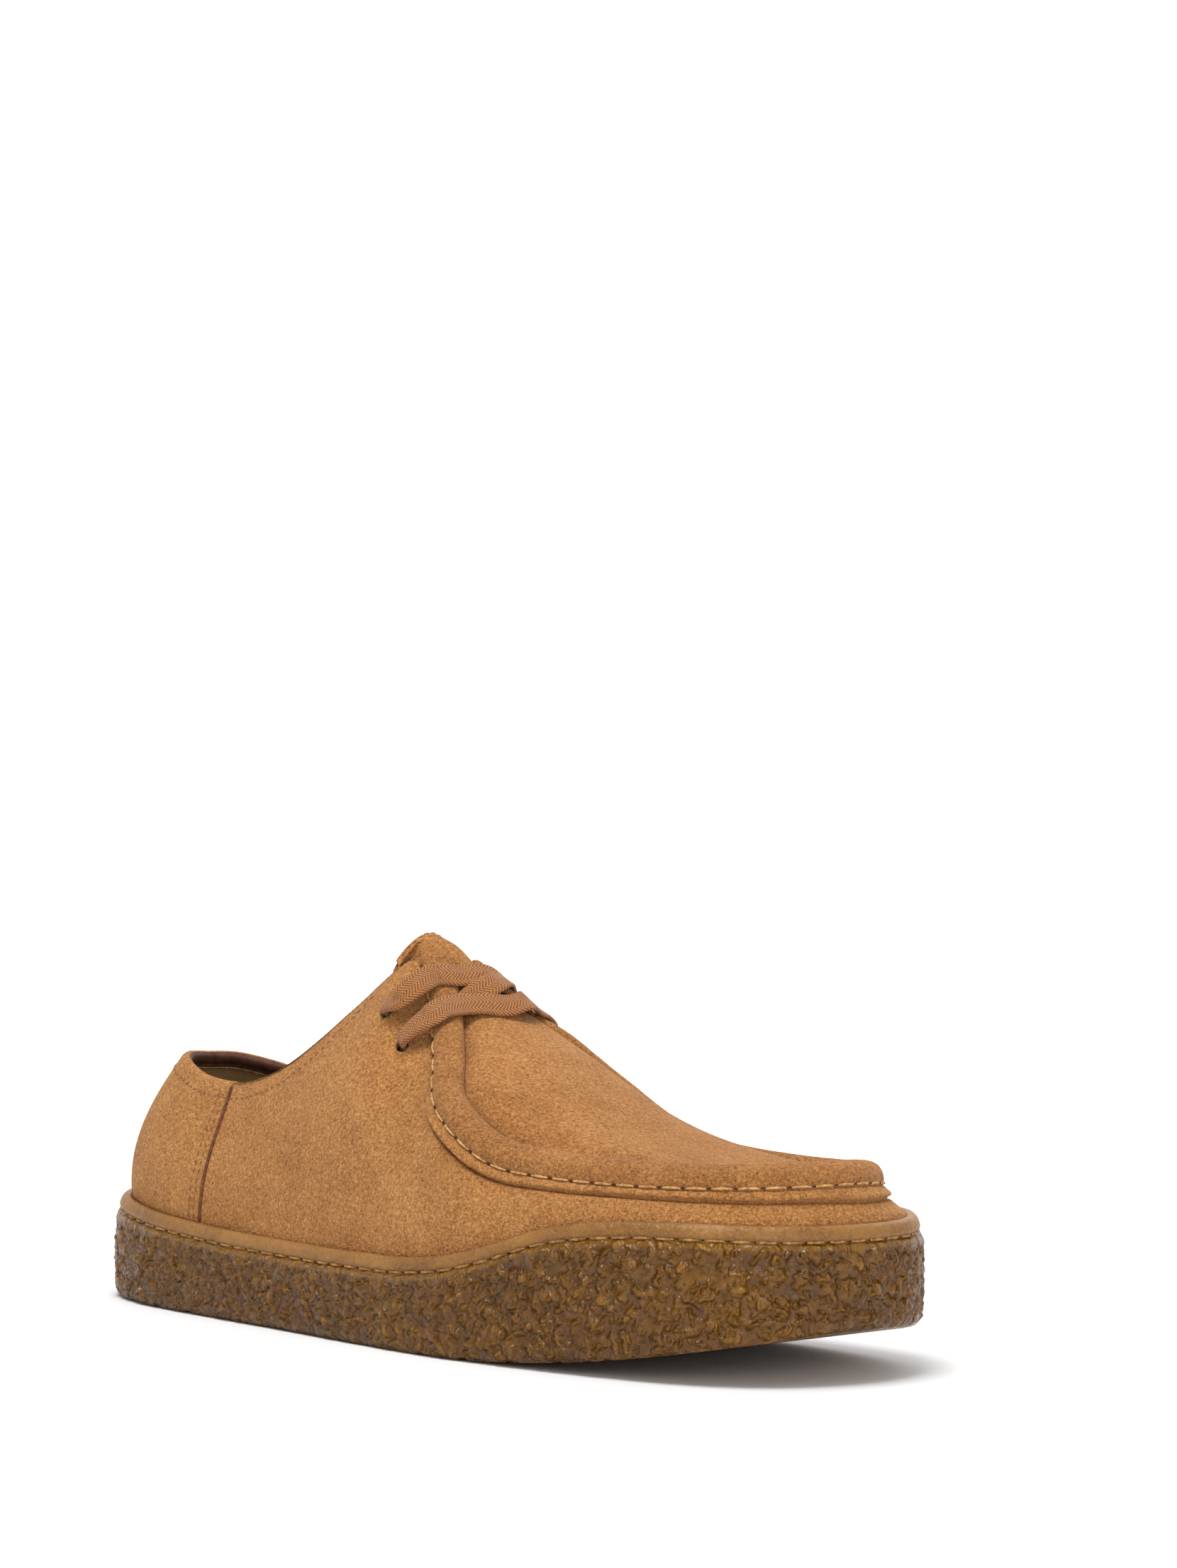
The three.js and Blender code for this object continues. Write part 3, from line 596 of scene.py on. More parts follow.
# without a seed of its own, noise_vector differs from run to run
noise.seed_set(7)
CRINKLE_DEPTH = 0.95
CRINKLE_TOP = 0.55
first = len(under)
outward = outline(around, 0 * around)[1]
crease = np.ones(sole_points.shape[:2])
for row in range(first + 1, first + len(side)):
    deep = CRINKLE_DEPTH * min(1, (row - first) / 3) * min(1, (first + len(side) - row) / 3)
    ring = sole_points[row, :-1]
    height = np.array([crinkle(*point) for point in ring])
    sole_points[row, :-1] += outward[:-1] * (deep * np.minimum(height, CRINKLE_TOP))[:, None]
    sole_points[row, -1] = sole_points[row, 0]
    crease[row, :-1] = height
    crease[row, -1] = height[0]

over_groove = sole_points[..., 2] - groove(sole_points[..., 0])
crepe_sole = lay_grid("crepe_sole", sole_points,
                      marks={"crease": crease, "band": ease(over_groove, -0.2, 0.5)})
seat(crepe_sole, "crepe", "sole")

# %% [markdown]
# ## One stitch, sewn many times
#
# All seams use the same trick: one short twisted thread is modelled from a sphere, pulled long
# and bent down at its ends, and then copied along a path. The copies become one piece for each
# seam. Between the stitches of the heavy seams a small dark dot stands for the needle hole:
# it is painted shade, the hole's dark inside.

# %% Copy a stitch along a path
def spread(path, normals, pitch, start):
    """Points, way along and way out at every pitch along a path."""
    run = run_of(path)
    goal = np.arange(start * pitch, run[-1] - 0.4 * pitch, pitch)
    place = lambda table, at: np.stack([np.interp(at, run, table[:, k]) for k in range(3)], 1)
    along = unit(place(path, goal + 0.4) - place(path, goal - 0.4))
    out = place(normals, goal)
    out = unit(out - dot(out, along) * along)
    return place(path, goal), along, out


def one_stitch(reach, thick):
    """A sphere pulled long along x, fat to its ends and bent down at them."""
    bpy.ops.mesh.primitive_uv_sphere_add(segments=8, ring_count=8, radius=0.5,
                                         rotation=(0, math.pi / 2, 0))
    stitch = bpy.context.object
    bpy.ops.object.transform_apply(location=False, rotation=True, scale=False)
    for corner in stitch.data.vertices:
        x, y, z = corner.co
        fat = 1 / max(0.35, (1 - min(4 * x * x, 0.999)) ** 0.28)
        corner.co = (x * reach, y * thick * fat, z * thick * fat - 2.6 * x * x * thick)
    return stitch


def sew(name, path, normals, pitch, reach, thick, material, start=0.5):
    """Copy one stitch along a path, `start` pitches from its end, and join the copies."""
    pattern = one_stitch(reach, thick)
    shape = np.array([corner.co[:] for corner in pattern.data.vertices])
    places = list(zip(*spread(path, normals, pitch, start)))
    copies = []
    for point, along, out in places:
        copy = bpy.data.objects.new(name, pattern.data.copy())
        axes = np.array([along, np.cross(out, along), out])
        copy.data.vertices.foreach_set("co", to_frame(shape @ axes + point).ravel())
        bpy.context.collection.objects.link(copy)
        copies.append(copy)
    bpy.data.objects.remove(pattern)
    bpy.ops.object.select_all(action="DESELECT")
    for copy in copies:
        copy.select_set(True)
    bpy.context.view_layer.objects.active = copies[0]
    bpy.ops.object.join()
    bpy.ops.object.shade_smooth()
    piece = bpy.context.object
    piece.name = piece.data.name = name
    piece.data.materials.append(material)
    print(name, len(places), "stitches")
    return piece


# %% [markdown]
# ## Shader sums in Python
#
# A material is easier to read as a sum than as a web of wires. This class wraps one socket, so
# that `0.6 * grain + 0.4 * patches` adds the Math nodes by itself. Every other node comes from
# one method.

# %% The class
class Wire:
    """One socket of a material's node tree."""

    def __init__(self, tree, socket=None):
        self.tree = tree
        self.socket = socket

    def node(self, kind, settings, sockets, output=0):
        made = self.tree.nodes.new(kind)
        for name, value in settings.items():
            if name != "stops":
                setattr(made, name, value)
                continue
            elements = made.color_ramp.elements
            while len(elements) < len(value):
                elements.new(0.5)
            for element, (place, colour) in zip(elements, value):
                element.position = place
                element.color = linear(*colour)
        for name, value in sockets.items():
            if isinstance(value, Wire):
                self.tree.links.new(value.socket, made.inputs[name])
            else:
                made.inputs[name].default_value = value
        return Wire(self.tree, made.outputs[output])

    def math(self, operation, *values):
        return self.node("ShaderNodeMath", {"operation": operation}, dict(enumerate(values)))

    def __add__(self, other):
        return self.math("ADD", self, other)

    def __sub__(self, other):
        return self.math("SUBTRACT", self, other)

    def __rsub__(self, other):
        return self.math("SUBTRACT", other, self)

    def __mul__(self, other):
        return self.math("MULTIPLY", self, other)

    __radd__ = __add__
    __rmul__ = __mul__

    def band(self, low, high):
        """0 below low, 1 above high."""
        return self.node("ShaderNodeMapRange", {"interpolation_type": "SMOOTHSTEP"},
                         {"Value": self, "From Min": low, "From Max": high})

    def spot(self):
        """The point's place on its piece, in metres."""
        return self.node("ShaderNodeTexCoord", {}, {}, "Object")

    def mark(self, name):
        """A number that the mesh carries at its points."""
        return self.node("ShaderNodeAttribute", {"attribute_name": name}, {}, "Fac")

    def noise(self, at, scale, detail=2.0, roughness=0.5):
        return self.node("ShaderNodeTexNoise", {},
                         {"Vector": at, "Scale": scale, "Detail": detail, "Roughness": roughness})

    def blend(self, share, low, high):
        return self.node("ShaderNodeMix", {"data_type": "RGBA"}, {0: share, 6: low, 7: high}, 2)

    def ramp(self, share, *stops):
        """A colour for each share, through stops of a place and a colour."""
        return self.node("ShaderNodeValToRGB", {"stops": stops}, {0: share})


def linear(red, green, blue):
    """A colour as a picture editor gives it, 0 to 255, for a shader."""
    shares = [part / 255 for part in (red, green, blue)]
    return (*(c / 12.92 if c < 0.04 else ((c + 0.055) / 1.055) ** 2.4 for c in shares), 1.0)


def material_of(name):
    """A new material, a wire to start its sums from and its shader."""
    material = bpy.data.materials.new(name)
    material.use_nodes = True
    tree = material.node_tree
    return material, Wire(tree), tree.nodes["Principled BSDF"]


def connect(shader, colour, roughness, height, depth, **fixed):
    """Feed the shader's varying sockets and set the rest."""
    links = shader.id_data.links
    links.new(colour.socket, shader.inputs["Base Color"])
    if isinstance(roughness, Wire):
        links.new(roughness.socket, shader.inputs["Roughness"])
    else:
        shader.inputs["Roughness"].default_value = roughness
    bump = colour.node("ShaderNodeBump", {}, {"Height": height, "Distance": depth, "Strength": 1.0})
    links.new(bump.socket, shader.inputs["Normal"])
    for name, value in fixed.items():
        shader.inputs[name.replace("_", " ")].default_value = value


# %% [markdown]
# ## Finishes
#
# Suede is leather with its fibres raised. Up close it is a nap of half-millimetre tufts, some
# leaning to the light and some away. From further off the nap shows strokes and patches. Both
# scales go in the colour, and only the fine one in the bump. Sheen gives the pale bloom where
# the surface turns away.

# %% Suede
SHEEN = {"Sheen_Weight": 0.12, "Sheen_Roughness": 0.4, "Sheen_Tint": (1.0, 0.80, 0.58, 1.0)}


def suede(name, dark, middle, light, pressed=None):
    """Napped leather; the last argument names an attribute for painted shade."""
    material, wire, shader = material_of(name)
    at = wire.spot()
    nap = wire.noise(at, 2100, roughness=0.6)
    tufts = wire.noise(at, 1000)
    strokes = wire.noise(at, 95)
    patches = wire.noise(at, 26)
    share = 0.46 * nap + 0.34 * tufts + 0.10 * strokes + 0.10 * patches
    colour = wire.ramp(share, (0.35, dark), (0.50, middle), (0.67, light))
    # painted shade: the colour goes towards the dark tone where the attribute is high
    if pressed:
        colour = wire.blend(0.7 * wire.mark(pressed), colour, linear(*dark))
    height = 0.5 * nap + 0.9 * tufts
    connect(shader, colour, 0.9, height, 0.0009, Specular_IOR_Level=0.2, **SHEEN)
    return material


# Painted shade: the plug's copy is a little darker, for the top that takes the most light, and the
# roll's copy is darker still, to set the roll off from the plug.
suede_tan = suede("suede_tan", (112, 68, 30), (168, 114, 61), (212, 158, 99))
suede_plug_shaded = suede("suede_plug_shaded", (112, 68, 30), (166, 112, 60), (208, 154, 96),
                   pressed="pressed")
suede_roll_shaded = suede("suede_roll_shaded", (104, 62, 28), (158, 105, 56), (200, 146, 90))

# %% Crepe rubber
crepe, wire, shader = material_of("crepe_rubber")
at = wire.spot()
smooth_band = wire.mark("band")
cloud = wire.noise(at, 50)
curd = wire.noise(at, 480, 3.0, 0.6)
grit = wire.noise(at, 1300, roughness=0.6)
drift = wire.node("ShaderNodeTexNoise", {}, {"Vector": at, "Scale": 190, "Detail": 2.0}, "Color")
warped = wire.node("ShaderNodeVectorMath", {"operation": "MULTIPLY_ADD"},
                   {0: drift, 1: (0.009, 0.009, 0.009), 2: at})
cells = wire.node("ShaderNodeTexVoronoi", {"feature": "SMOOTH_F1"},
                  {"Vector": warped, "Scale": 300, "Smoothness": 0.6})
lump = 1 - cells.band(0.05, 0.75)
# painted shade: creases and the rims of the shader's cells are darker, raised cells lighter; cloud and
# curd are the rubber's own uneven tone
share = 0.30 * cloud + 0.20 * curd + 0.26 * wire.mark("crease").band(-0.5, 0.7) + 0.24 * lump
side_colour = wire.ramp(share, (0.20, (80, 49, 9)), (0.42, (109, 70, 15)),
                        (0.60, (126, 84, 22)), (0.80, (146, 102, 34)))
band_colour = wire.ramp(0.6 * cloud + 0.4 * grit, (0.34, (112, 74, 30)),
                        (0.52, (142, 98, 45)), (0.70, (164, 118, 60)))
colour = wire.blend(smooth_band, side_colour, band_colour)
roughness = 0.16 + 0.2 * cloud + 0.2 * smooth_band
height = (0.80 * lump + 0.15 * curd + 0.05 * grit) * (1 - 0.8 * smooth_band)
connect(shader, colour, roughness, height, 0.0024, Specular_IOR_Level=0.36)

# %% Thread, lace, textile and facing
def dyed(name, dark, light, scale, depth, rough):
    """One noise that runs from a dark to a light tone and makes the relief."""
    material, wire, shader = material_of(name)
    share = wire.noise(wire.spot(), scale, roughness=0.6)
    connect(shader, wire.ramp(share, (0.35, dark), (0.65, light)), rough, share, depth)
    return material


gold_thread = dyed("gold_thread", (154, 106, 56), (212, 166, 104), 900, 0.0002, 0.6)
tan_thread = dyed("tan_thread", (104, 64, 32), (144, 94, 52), 900, 0.0002, 0.7)
sole_thread = dyed("sole_thread", (120, 80, 36), (190, 140, 78), 700, 0.0002, 0.55)
bead_thread = dyed("bead_thread", (120, 92, 56), (170, 140, 98), 900, 0.0001, 0.8)
# a dark tone for needle holes and eyelets: painted shade in the holes
hole_shade_tone = dyed("hole_shade_tone", (52, 30, 15), (76, 46, 24), 900, 0.0001, 0.95)
cut_leather = dyed("cut_leather", (84, 46, 22), (118, 70, 36), 700, 0.0002, 0.9)
facing_leather = dyed("facing_leather", (68, 36, 22), (98, 56, 36), 260, 0.0002, 0.75)


def woven(name, dark, light, pitch, depth, chevron):
    """A weave on the piece's UV map: ribs that turn over at each chevron, as in herringbone."""
    material, wire, shader = material_of(name)
    spot = wire.node("ShaderNodeUVMap", {}, {}, "UV")
    along = wire.node("ShaderNodeSeparateXYZ", {}, {0: spot}, 0)
    across = wire.node("ShaderNodeSeparateXYZ", {}, {0: spot}, 1)
    turn = wire.math("PINGPONG", across, chevron)
    rib = 0.5 + 0.5 * wire.math("SINE", (along + turn) * (2 * math.pi / pitch))
    pick = 0.5 + 0.5 * wire.math("SINE", (along - turn * 0.5) * (2 * math.pi / (pitch * 0.45)))
    fuzz = wire.noise(wire.spot(), 1100, roughness=0.6)
    share = 0.46 * rib + 0.14 * pick + 0.40 * fuzz
    colour = wire.ramp(share, (0.22, dark), (0.78, light))
    connect(shader, colour, 0.85, 0.7 * rib + 0.3 * fuzz, depth, Sheen_Weight=0.15)
    return material


lace_weave = woven("lace_weave", (98, 53, 18), (188, 122, 56),
                   0.0012, 0.0004, 0.0021)
lining_textile = woven("lining_textile", (142, 114, 66), (196, 166, 112),
                       0.0009, 0.00015, 0.0016)
print("materials:", len(bpy.data.materials))

crepe_sole.data.materials.append(crepe)

# %% [markdown]
# ## Stitch in the groove
#
# A heavy waxed thread holds the upper to the cup. It lies in the groove in long stitches that
# dip at each hole.

# %% Sew the sole
STITCH_PITCH = 7.05
groove_path, groove_out = outline(np.linspace(0, 2, 1601), np.full(1601, 1.75))
groove_path[:, 2] = groove(groove_path[:, 0]) + 0.1
seat(sew("sole_stitch", groove_path, groove_out, STITCH_PITCH, 6.0, 0.95, sole_thread), "crepe")
# dark dots between the stitches: painted shade in the needle holes
seat(sew("sole_hole_shade_dots", groove_path - groove_out * 0.25, groove_out, STITCH_PITCH, 1.2, 0.6,
         hole_shade_tone, 1.0), "crepe")

# %% [markdown]
# ## Upper
#
# Quarters and vamp are one hollow wall here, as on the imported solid. Its section starts in the
# cup, climbs the outside, steps out at the folded lip below the moccasin seam, rounds over the
# top edge and goes down the inside. Inside it changes to a dark facing and then to textile, so
# the rows of the grid carry three materials.

# %% Section of the upper
SEAM = 3.85
STEPS_PER_RIB = 12
FACING = 4.8
g = np.linspace(0, AROUND, AROUND * STEPS_PER_RIB + 1)


def wall_band(g, down, offset):
    """Points a length below the top edge, raised off the last."""
    return off_wall(g, wall_below(g, down), offset)


def skin_depths(g):
    """Outer and inner face of the upper, which lies deeper where the heel panel covers it."""
    rib = rib_of(g)
    outer = ease(rib, SEAM - 0.16, SEAM - 0.03) + 0.5 * ease(rib, SEAM + 0.3, 6.5) - COUNTER_WALL
    return outer, -UPPER_WALL - COUNTER_WALL * (1 - ease(rib, SEAM, 6.5))


def in_cup(row):
    """The same row let down to the cup's floor."""
    low = row.copy()
    low[:, 2] = cup_floor(low[:, 0]) + 0.3
    return low


def over_edge(g, outer, inner, drop, steps):
    """Rows that round over the top edge, from the outer face to the inner."""
    half = (outer - inner) / 2
    middle = (outer + inner) / 2
    return [wall_band(g, drop(1 - math.sin(angle)), middle + half * math.cos(angle))
            for angle in np.linspace(0, math.pi, steps)]


outer, inner = skin_depths(g)
lip = LIP_STEP * ease(rib_of(g), 11.0, 12.8)
lip_width = 0.22 + 0.78 * ease(rib_of(g), 11.4, 13.6)
# length below the edge and share of the lip's step
LIP_ROWS = [(5.4, -0.05), (4.95, -0.45), (4.40, -0.85), (4.25, 0.20), (4.50, 0.75),
            (4.30, 1.10), (3.7, 1.2), (2.9, 1.12), (2.0, 1.0)]
lip_foot = wall_below(g, 5.6)
suede_rows = [in_cup(off_wall(g, 0 * g, outer))]
suede_rows += [off_wall(g, share * lip_foot, outer) for share in np.linspace(0, 1, 30)]
suede_rows += [wall_band(g, down * lip_width, outer + lip * out) for down, out in LIP_ROWS]
over = over_edge(g, outer + lip, inner, lambda share: 1.3 * share, 8)
suede_rows += over[:4]
facing_rows = over[4:] + [wall_band(g, down, inner) for down in (2.2, 3.2, 4.0, FACING)]
lining = inner + 0.35
lining_rows = [wall_band(g, FACING + 0.3, lining)]
lining_rows += [off_wall(g, share * wall_below(g, FACING + 0.5), lining)
                for share in np.linspace(1, 0, 16)[1:]]
lining_rows += [in_cup(off_wall(g, 0 * g, lining)), suede_rows[0]]
upper = lay_grid("suede_upper", np.array(suede_rows + facing_rows + lining_rows),
                 bands=[0] * len(suede_rows) + [1] * len(facing_rows) + [2] * len(lining_rows))

# %% Punch the eyelets
EYELETS = [(9.20, 0.76), (10.24, 0.75)]


def disc(place, height, lift, radius, depth, sides):
    """A disc or cylinder square to the wall."""
    spot, height = np.array([place]), np.array([height])
    way = Vector(wall_normal(spot, height)[0])
    bpy.ops.mesh.primitive_cylinder_add(
        vertices=sides, radius=radius * MM, depth=depth * MM,
        location=to_frame(off_wall(spot, height, lift)[0]),
        rotation=way.to_track_quat("Z", "Y").to_euler())
    return bpy.context.object


for rib, height in EYELETS:
    for place in (rib, AROUND - rib):
        punch = disc(place, height, 0, EYELET_BORE / 2, 14, 24)
        only(upper)
        cut = upper.modifiers.new("eyelet", "BOOLEAN")
        cut.object = punch
        cut.operation = "DIFFERENCE"
        cut.solver = "EXACT"
        bpy.ops.object.modifier_apply(modifier=cut.name)
        bpy.data.objects.remove(punch)
seat(upper, "suede", "upper", finishes=(suede_tan, facing_leather, lining_textile))

# %% Painted shade behind the eyelets
EYELET_SHADE_RADIUS = 5.0
# Dark discs just inside the upper, seen through the eyelets: painted shade in the holes.
for number, (rib, height) in enumerate(EYELETS):
    for side_name, place in (("outer", rib), ("inner", AROUND - rib)):
        shade_behind = disc(place, height, -UPPER_WALL - 0.35, EYELET_SHADE_RADIUS, 0.5, 32)
        bpy.ops.object.transform_apply(location=True, rotation=True, scale=True)
        shade_behind.name = f"eyelet_painted_shade_{side_name}_{number}"
        seat(shade_behind, "lining", finishes=[hole_shade_tone])

# %% [markdown]
# ## Heel panel
#
# A separate piece of suede wraps the heel and folds over the collar. Its front edge stands a
# little proud of the quarter and is held by two close rows of stitches. It is a sheet on the
# last that turns down at its front edges, made thick with a Solidify modifier.

# %% Lay the panel
PANEL_ROUND = 0.9
RIB_GAP = 15.0
turned = SEAM - np.array([0, 0.012, 0.03])
panel_g = np.unique(np.concatenate([np.linspace(-SEAM, SEAM, 109), turned, -turned]))
panel_out = PANEL_ROUND * (rounded_ends((panel_g + SEAM) * RIB_GAP, PANEL_ROUND) - 1)
panel_in = np.full(len(panel_g), -3.6)
panel_rows = [wall(panel_g, share * wall_below(panel_g, 3.0))
              + wall_normal(panel_g, 0.5) * panel_out[:, None] for share in np.linspace(0, 1, 26)]
panel_rows += over_edge(panel_g, panel_out, panel_in, lambda share: 1.75 * share - 0.25, 9)
panel_rows.append(wall_band(panel_g, 3.2, panel_in))
wrapped = [0] * (len(panel_rows) - 6) + [1] * 5
heel_panel = lay_grid("heel_panel", np.array(panel_rows), bands=wrapped)
thicken(heel_panel, 0.7)
seat(heel_panel, "suede", "heel_counter", finishes=(suede_tan, facing_leather))

# %% Sew the panel and the collar
FINE_PITCH = 2.7
COLLAR_END = 8.55
heights = np.linspace(0.03, 0.97, 60)
for side_name, turn in (("outer", 1), ("inner", -1)):
    place = np.full(60, turn * (SEAM + 0.02))
    cut_edge = tube(f"panel_edge_{side_name}", off_wall(place, heights, -0.45),
                    wall_normal(place, heights), circle(0.65), 0.4)
    seat(cut_edge, "suede", finishes=[cut_leather])
    for row_name, back in (("front", 1.7), ("back", 3.6)):
        place = np.full(60, turn * (SEAM - back / RIB_GAP))
        seat(sew(f"panel_stitch_{side_name}_{row_name}", off_wall(place, heights, 0.05),
                 wall_normal(place, heights), FINE_PITCH, 2.0, 0.55, tan_thread), "suede")

collar_g = np.linspace(-COLLAR_END, COLLAR_END, 700)
collar_v = wall_below(collar_g, 5.6 - 1.2 * ease(np.abs(collar_g), 7.6, COLLAR_END))
collar_lift = np.where(np.abs(collar_g) < SEAM, 0.0, skin_depths(collar_g)[0]) + 0.05
seat(sew("collar_stitch", off_wall(collar_g, collar_v, collar_lift),
         wall_normal(collar_g, collar_v), FINE_PITCH, 1.9, 0.55, tan_thread), "suede")

bead_g = np.linspace(-8.8, 8.8, 500)
bead_path = wall_band(bead_g, FACING + 0.15, skin_depths(bead_g)[1] + 0.1)
facing_bead = tube("facing_bead", bead_path, wall_normal(bead_g, 0.8), circle(0.4), 0.5)
seat(facing_bead, "lining", finishes=[bead_thread])

# %% [markdown]
# ## Plug and tongue
#
# One sheet of suede covers the top of the foot and runs on as the tongue. It spans from the seam
# on one side over the spine to the seam on the other, and a Solidify modifier gives it its wall.

# %% Lay plug and tongue
plug_ribs = np.concatenate([np.linspace(5, 9, 40)[:-1], np.linspace(9, TOE, 150)])
across_steps = np.concatenate([1 - np.linspace(1, 0, 30) ** 1.3, 1 + np.linspace(0, 1, 30)[1:] ** 1.3])
plug_rows = []
# painted shade in the valley beside the roll: darkest at the roll, gone some 4.5 mm from it, from the
# lacing tabs on
pressed = []
for step in across_steps:
    which = -1 if step <= 1 else 1
    row = plug(plug_ribs, which, np.full(len(plug_ribs), min(step, 2 - step)))
    from_roll = length(row - plug_edge(plug_ribs, which)) - (ROLL_WIDTH - EDGE_SETBACK)
    plug_rows.append(row)
    pressed.append((1 - ease(from_roll, 0.3, 4.5)) * ease(plug_ribs, 10.5, 12.0))
plug_tongue = lay_grid("plug_tongue", np.array(plug_rows), marks={"pressed": np.array(pressed)})
thicken(plug_tongue, 1.8)
soft_edge = plug_tongue.modifiers.new("soft edge", "BEVEL")
soft_edge.width = 0.6 * MM
soft_edge.segments = 3
soft_edge.limit_method = "ANGLE"
soft_edge.angle_limit = math.radians(60)
bpy.ops.object.modifier_apply(modifier=soft_edge.name)
bpy.ops.object.shade_smooth()
seat(plug_tongue, "plug_suede", "apron_tongue", finishes=[suede_plug_shaded])

# %% Sew the tongue's edge
EDGE_MARGIN = 2.0


def inside_edge(ribs, which):
    """Points on the tongue a margin inside its side edge."""
    edge = plug_edge(ribs, which)
    share = EDGE_MARGIN / length(spine(ribs) - edge)
    return plug(ribs, which, share), share


TOP_RIB = 5.45
side_ribs = np.linspace(8.6, TOP_RIB, 40)
near_path, near_share = inside_edge(side_ribs, -1)
far_path, far_share = inside_edge(side_ribs[::-1], 1)
top_rib = np.full(30, TOP_RIB)
top_path = np.concatenate([plug(top_rib, -1, np.linspace(near_share[-1], 1, 30)),
                           plug(top_rib, 1, np.linspace(1, far_share[0], 30))[1:]])
tongue_path = np.concatenate([near_path, top_path[1:], far_path[1:]])
ahead = unit(np.gradient(tongue_path, axis=0))
toward = unit(spine(np.full(len(tongue_path), 7.0)) + [0, 0, -12.0] - tongue_path)
tongue_out = unit(np.cross(toward, ahead))
tongue_out = np.where(tongue_out[:, :1] < 0, -tongue_out, tongue_out)
seat(sew("tongue_stitch", tongue_path, tongue_out, FINE_PITCH, 1.9, 0.6, tan_thread), "plug_suede")

# %% [markdown]
# ## Moccasin seam
#
# The edge of the vamp is gathered up over the plug and sewn, which leaves a fat rounded roll
# round the toe and up both sides of the throat. The roll draws in a little at every stitch. Its
# ends on the lacing tabs are closed and rounded.

# %% Sweep the roll
ROLL_PITCH = 7.4
END_ROUND = 2.6
end_g = np.array([9.2, 9.215, 9.24, 9.28, 9.33])
roll_g = np.concatenate([end_g, np.linspace(9.4, 32.6, 520), AROUND - end_g[::-1]])
seam_point, seam_in, seam_out = seam_frame(roll_g)
roll_run = run_of(seam_point)
roll_rib = rib_of(roll_g)
outer_side = (roll_g <= TOE)[:, None]
high = roll_height(roll_g)
pinch = np.exp(-(((roll_run / ROLL_PITCH) % 1 - 0.5) / 0.16) ** 2)
edge_at = np.where(outer_side, plug_edge(roll_rib, -1), plug_edge(roll_rib, 1))
reach = length(edge_at - spine(roll_rib))


def foot_on_plug(across):
    share = (across - setback(roll_rib)) / reach
    foot = np.where(outer_side, plug(roll_rib, -1, share), plug(roll_rib, 1, share)) - seam_point
    return (foot * seam_in).sum(1), (foot * seam_out).sum(1) + 0.15


far_u, far_w = foot_on_plug(ROLL_WIDTH)
mid_u, mid_w = foot_on_plug(0.7 * ROLL_WIDTH)
draw = 1 - 0.10 * pinch
# across the seam and out of it: up the vamp's side, over the top and down to the plug
section = [
    (0.4, -0.5), (-0.7, -0.45), (-0.95 + 0.3 * pinch, 0.14 * high),
    (-0.85 + 0.3 * pinch, 0.34 * high), (-0.5 + 0.25 * pinch, 0.54 * high * draw),
    (0.15, 0.74 * high * draw), (1.3, 0.94 * high * draw), (2.8, 1.04 * high * draw),
    (4.4, 1.07 * high), (6.0, 1.03 * high), (7.3, 0.84 * high),
    (8.15, 0.5 * (far_w + 0.84 * high)), (far_u - 0.55, far_w - 0.1),
    (mid_u, mid_w), (EDGE_SETBACK - 0.9, np.minimum(mid_w, 0.4)), (0.6, 0.25),
]
knots = np.array([(u + 0 * high, w + 0 * high) for u, w in section])
middle = np.array([3.8 + 0 * high, 0.5 * high])
close = rounded_ends(roll_run, END_ROUND)
roll_points = []
for k in range(len(knots)):
    four = [knots[(k + step) % len(knots)] for step in (-1, 0, 1, 2)]
    for t in (0, 1 / 3, 2 / 3):
        u, w = middle + (catmull(t, *four) - middle) * close
        roll_points.append(seam_point + seam_in * u[:, None] + seam_out * w[:, None])
moccasin_seam = lay_grid("moccasin_seam", np.array(roll_points + roll_points[:1]))
seat(moccasin_seam, "suede", "moccasin_roll", finishes=[suede_roll_shaded])

# %% Sew the seam
stitch_path = seam_point - seam_in * 1.15 + seam_out * (0.16 * high + 0.1)[:, None]
stitch_out = unit(seam_out * 0.55 - seam_in * 0.85)
seat(sew("seam_stitch", stitch_path, stitch_out, ROLL_PITCH, 6.1, 0.72, gold_thread, 1.0), "suede")
# dark dots between the stitches: painted shade in the needle holes
seat(sew("seam_hole_shade_dots", stitch_path - stitch_out * 0.1, stitch_out, ROLL_PITCH, 1.25, 0.62,
         hole_shade_tone), "suede")

# %% [markdown]
# ## Laces
#
# The lace is a flat herringbone tape. A bar lies over the two lower eyelets. From the upper
# eyelets two ends come out, cross on the tongue and tuck in under the bar. The tape is gathered
# where it dives into an eyelet.

# %% Lay the tapes
# rib, shares of the roll's width and height, share of the tape's width
FRONT_BAR = [
    (11.33, -0.82, 0.30, 0.75), (11.24, -0.27, 0.82, 0.95), (11.01, 0.26, 0.92, 1.00),
    (10.85, 0.86, 0.80, 1.00), (10.76, 1.73, 0.74, 1.00), (10.72, 2.70, 0.60, 1.00),
]
TOP_BAR = [
    (10.48, -1.35, 0.08, 0.75), (10.29, -0.88, 0.55, 0.90), (10.06, -0.37, 0.68, 1.00),
    (9.91, 0.12, 0.70, 1.00), (9.92, 1.07, 0.64, 1.00),
]


TUCK = [(10.56, 1.30, 0.54, 0.95), (10.86, 0.95, 0.44, 0.90)]


def laid(rows, far):
    rib, across, out_by, width = np.array(rows, float).T
    point, inward, out = seam_frame(AROUND - rib if far else rib)
    point = point + inward * (across * ROLL_WIDTH)[:, None] + out * (out_by * ROLL_HEIGHT)[:, None]
    return list(zip(point, out, width))


def from_eyelet(which, far):
    rib, height = EYELETS[which]
    place = np.array([AROUND - rib if far else rib])
    height = np.array([height + 0.01])
    out = wall_normal(place, height)[0]
    base = wall(place, height)[0]
    return [(base + out * lift, out, width) for lift, width in ((-3, 0.34), (-0.6, 0.38), (1, 0.48))]


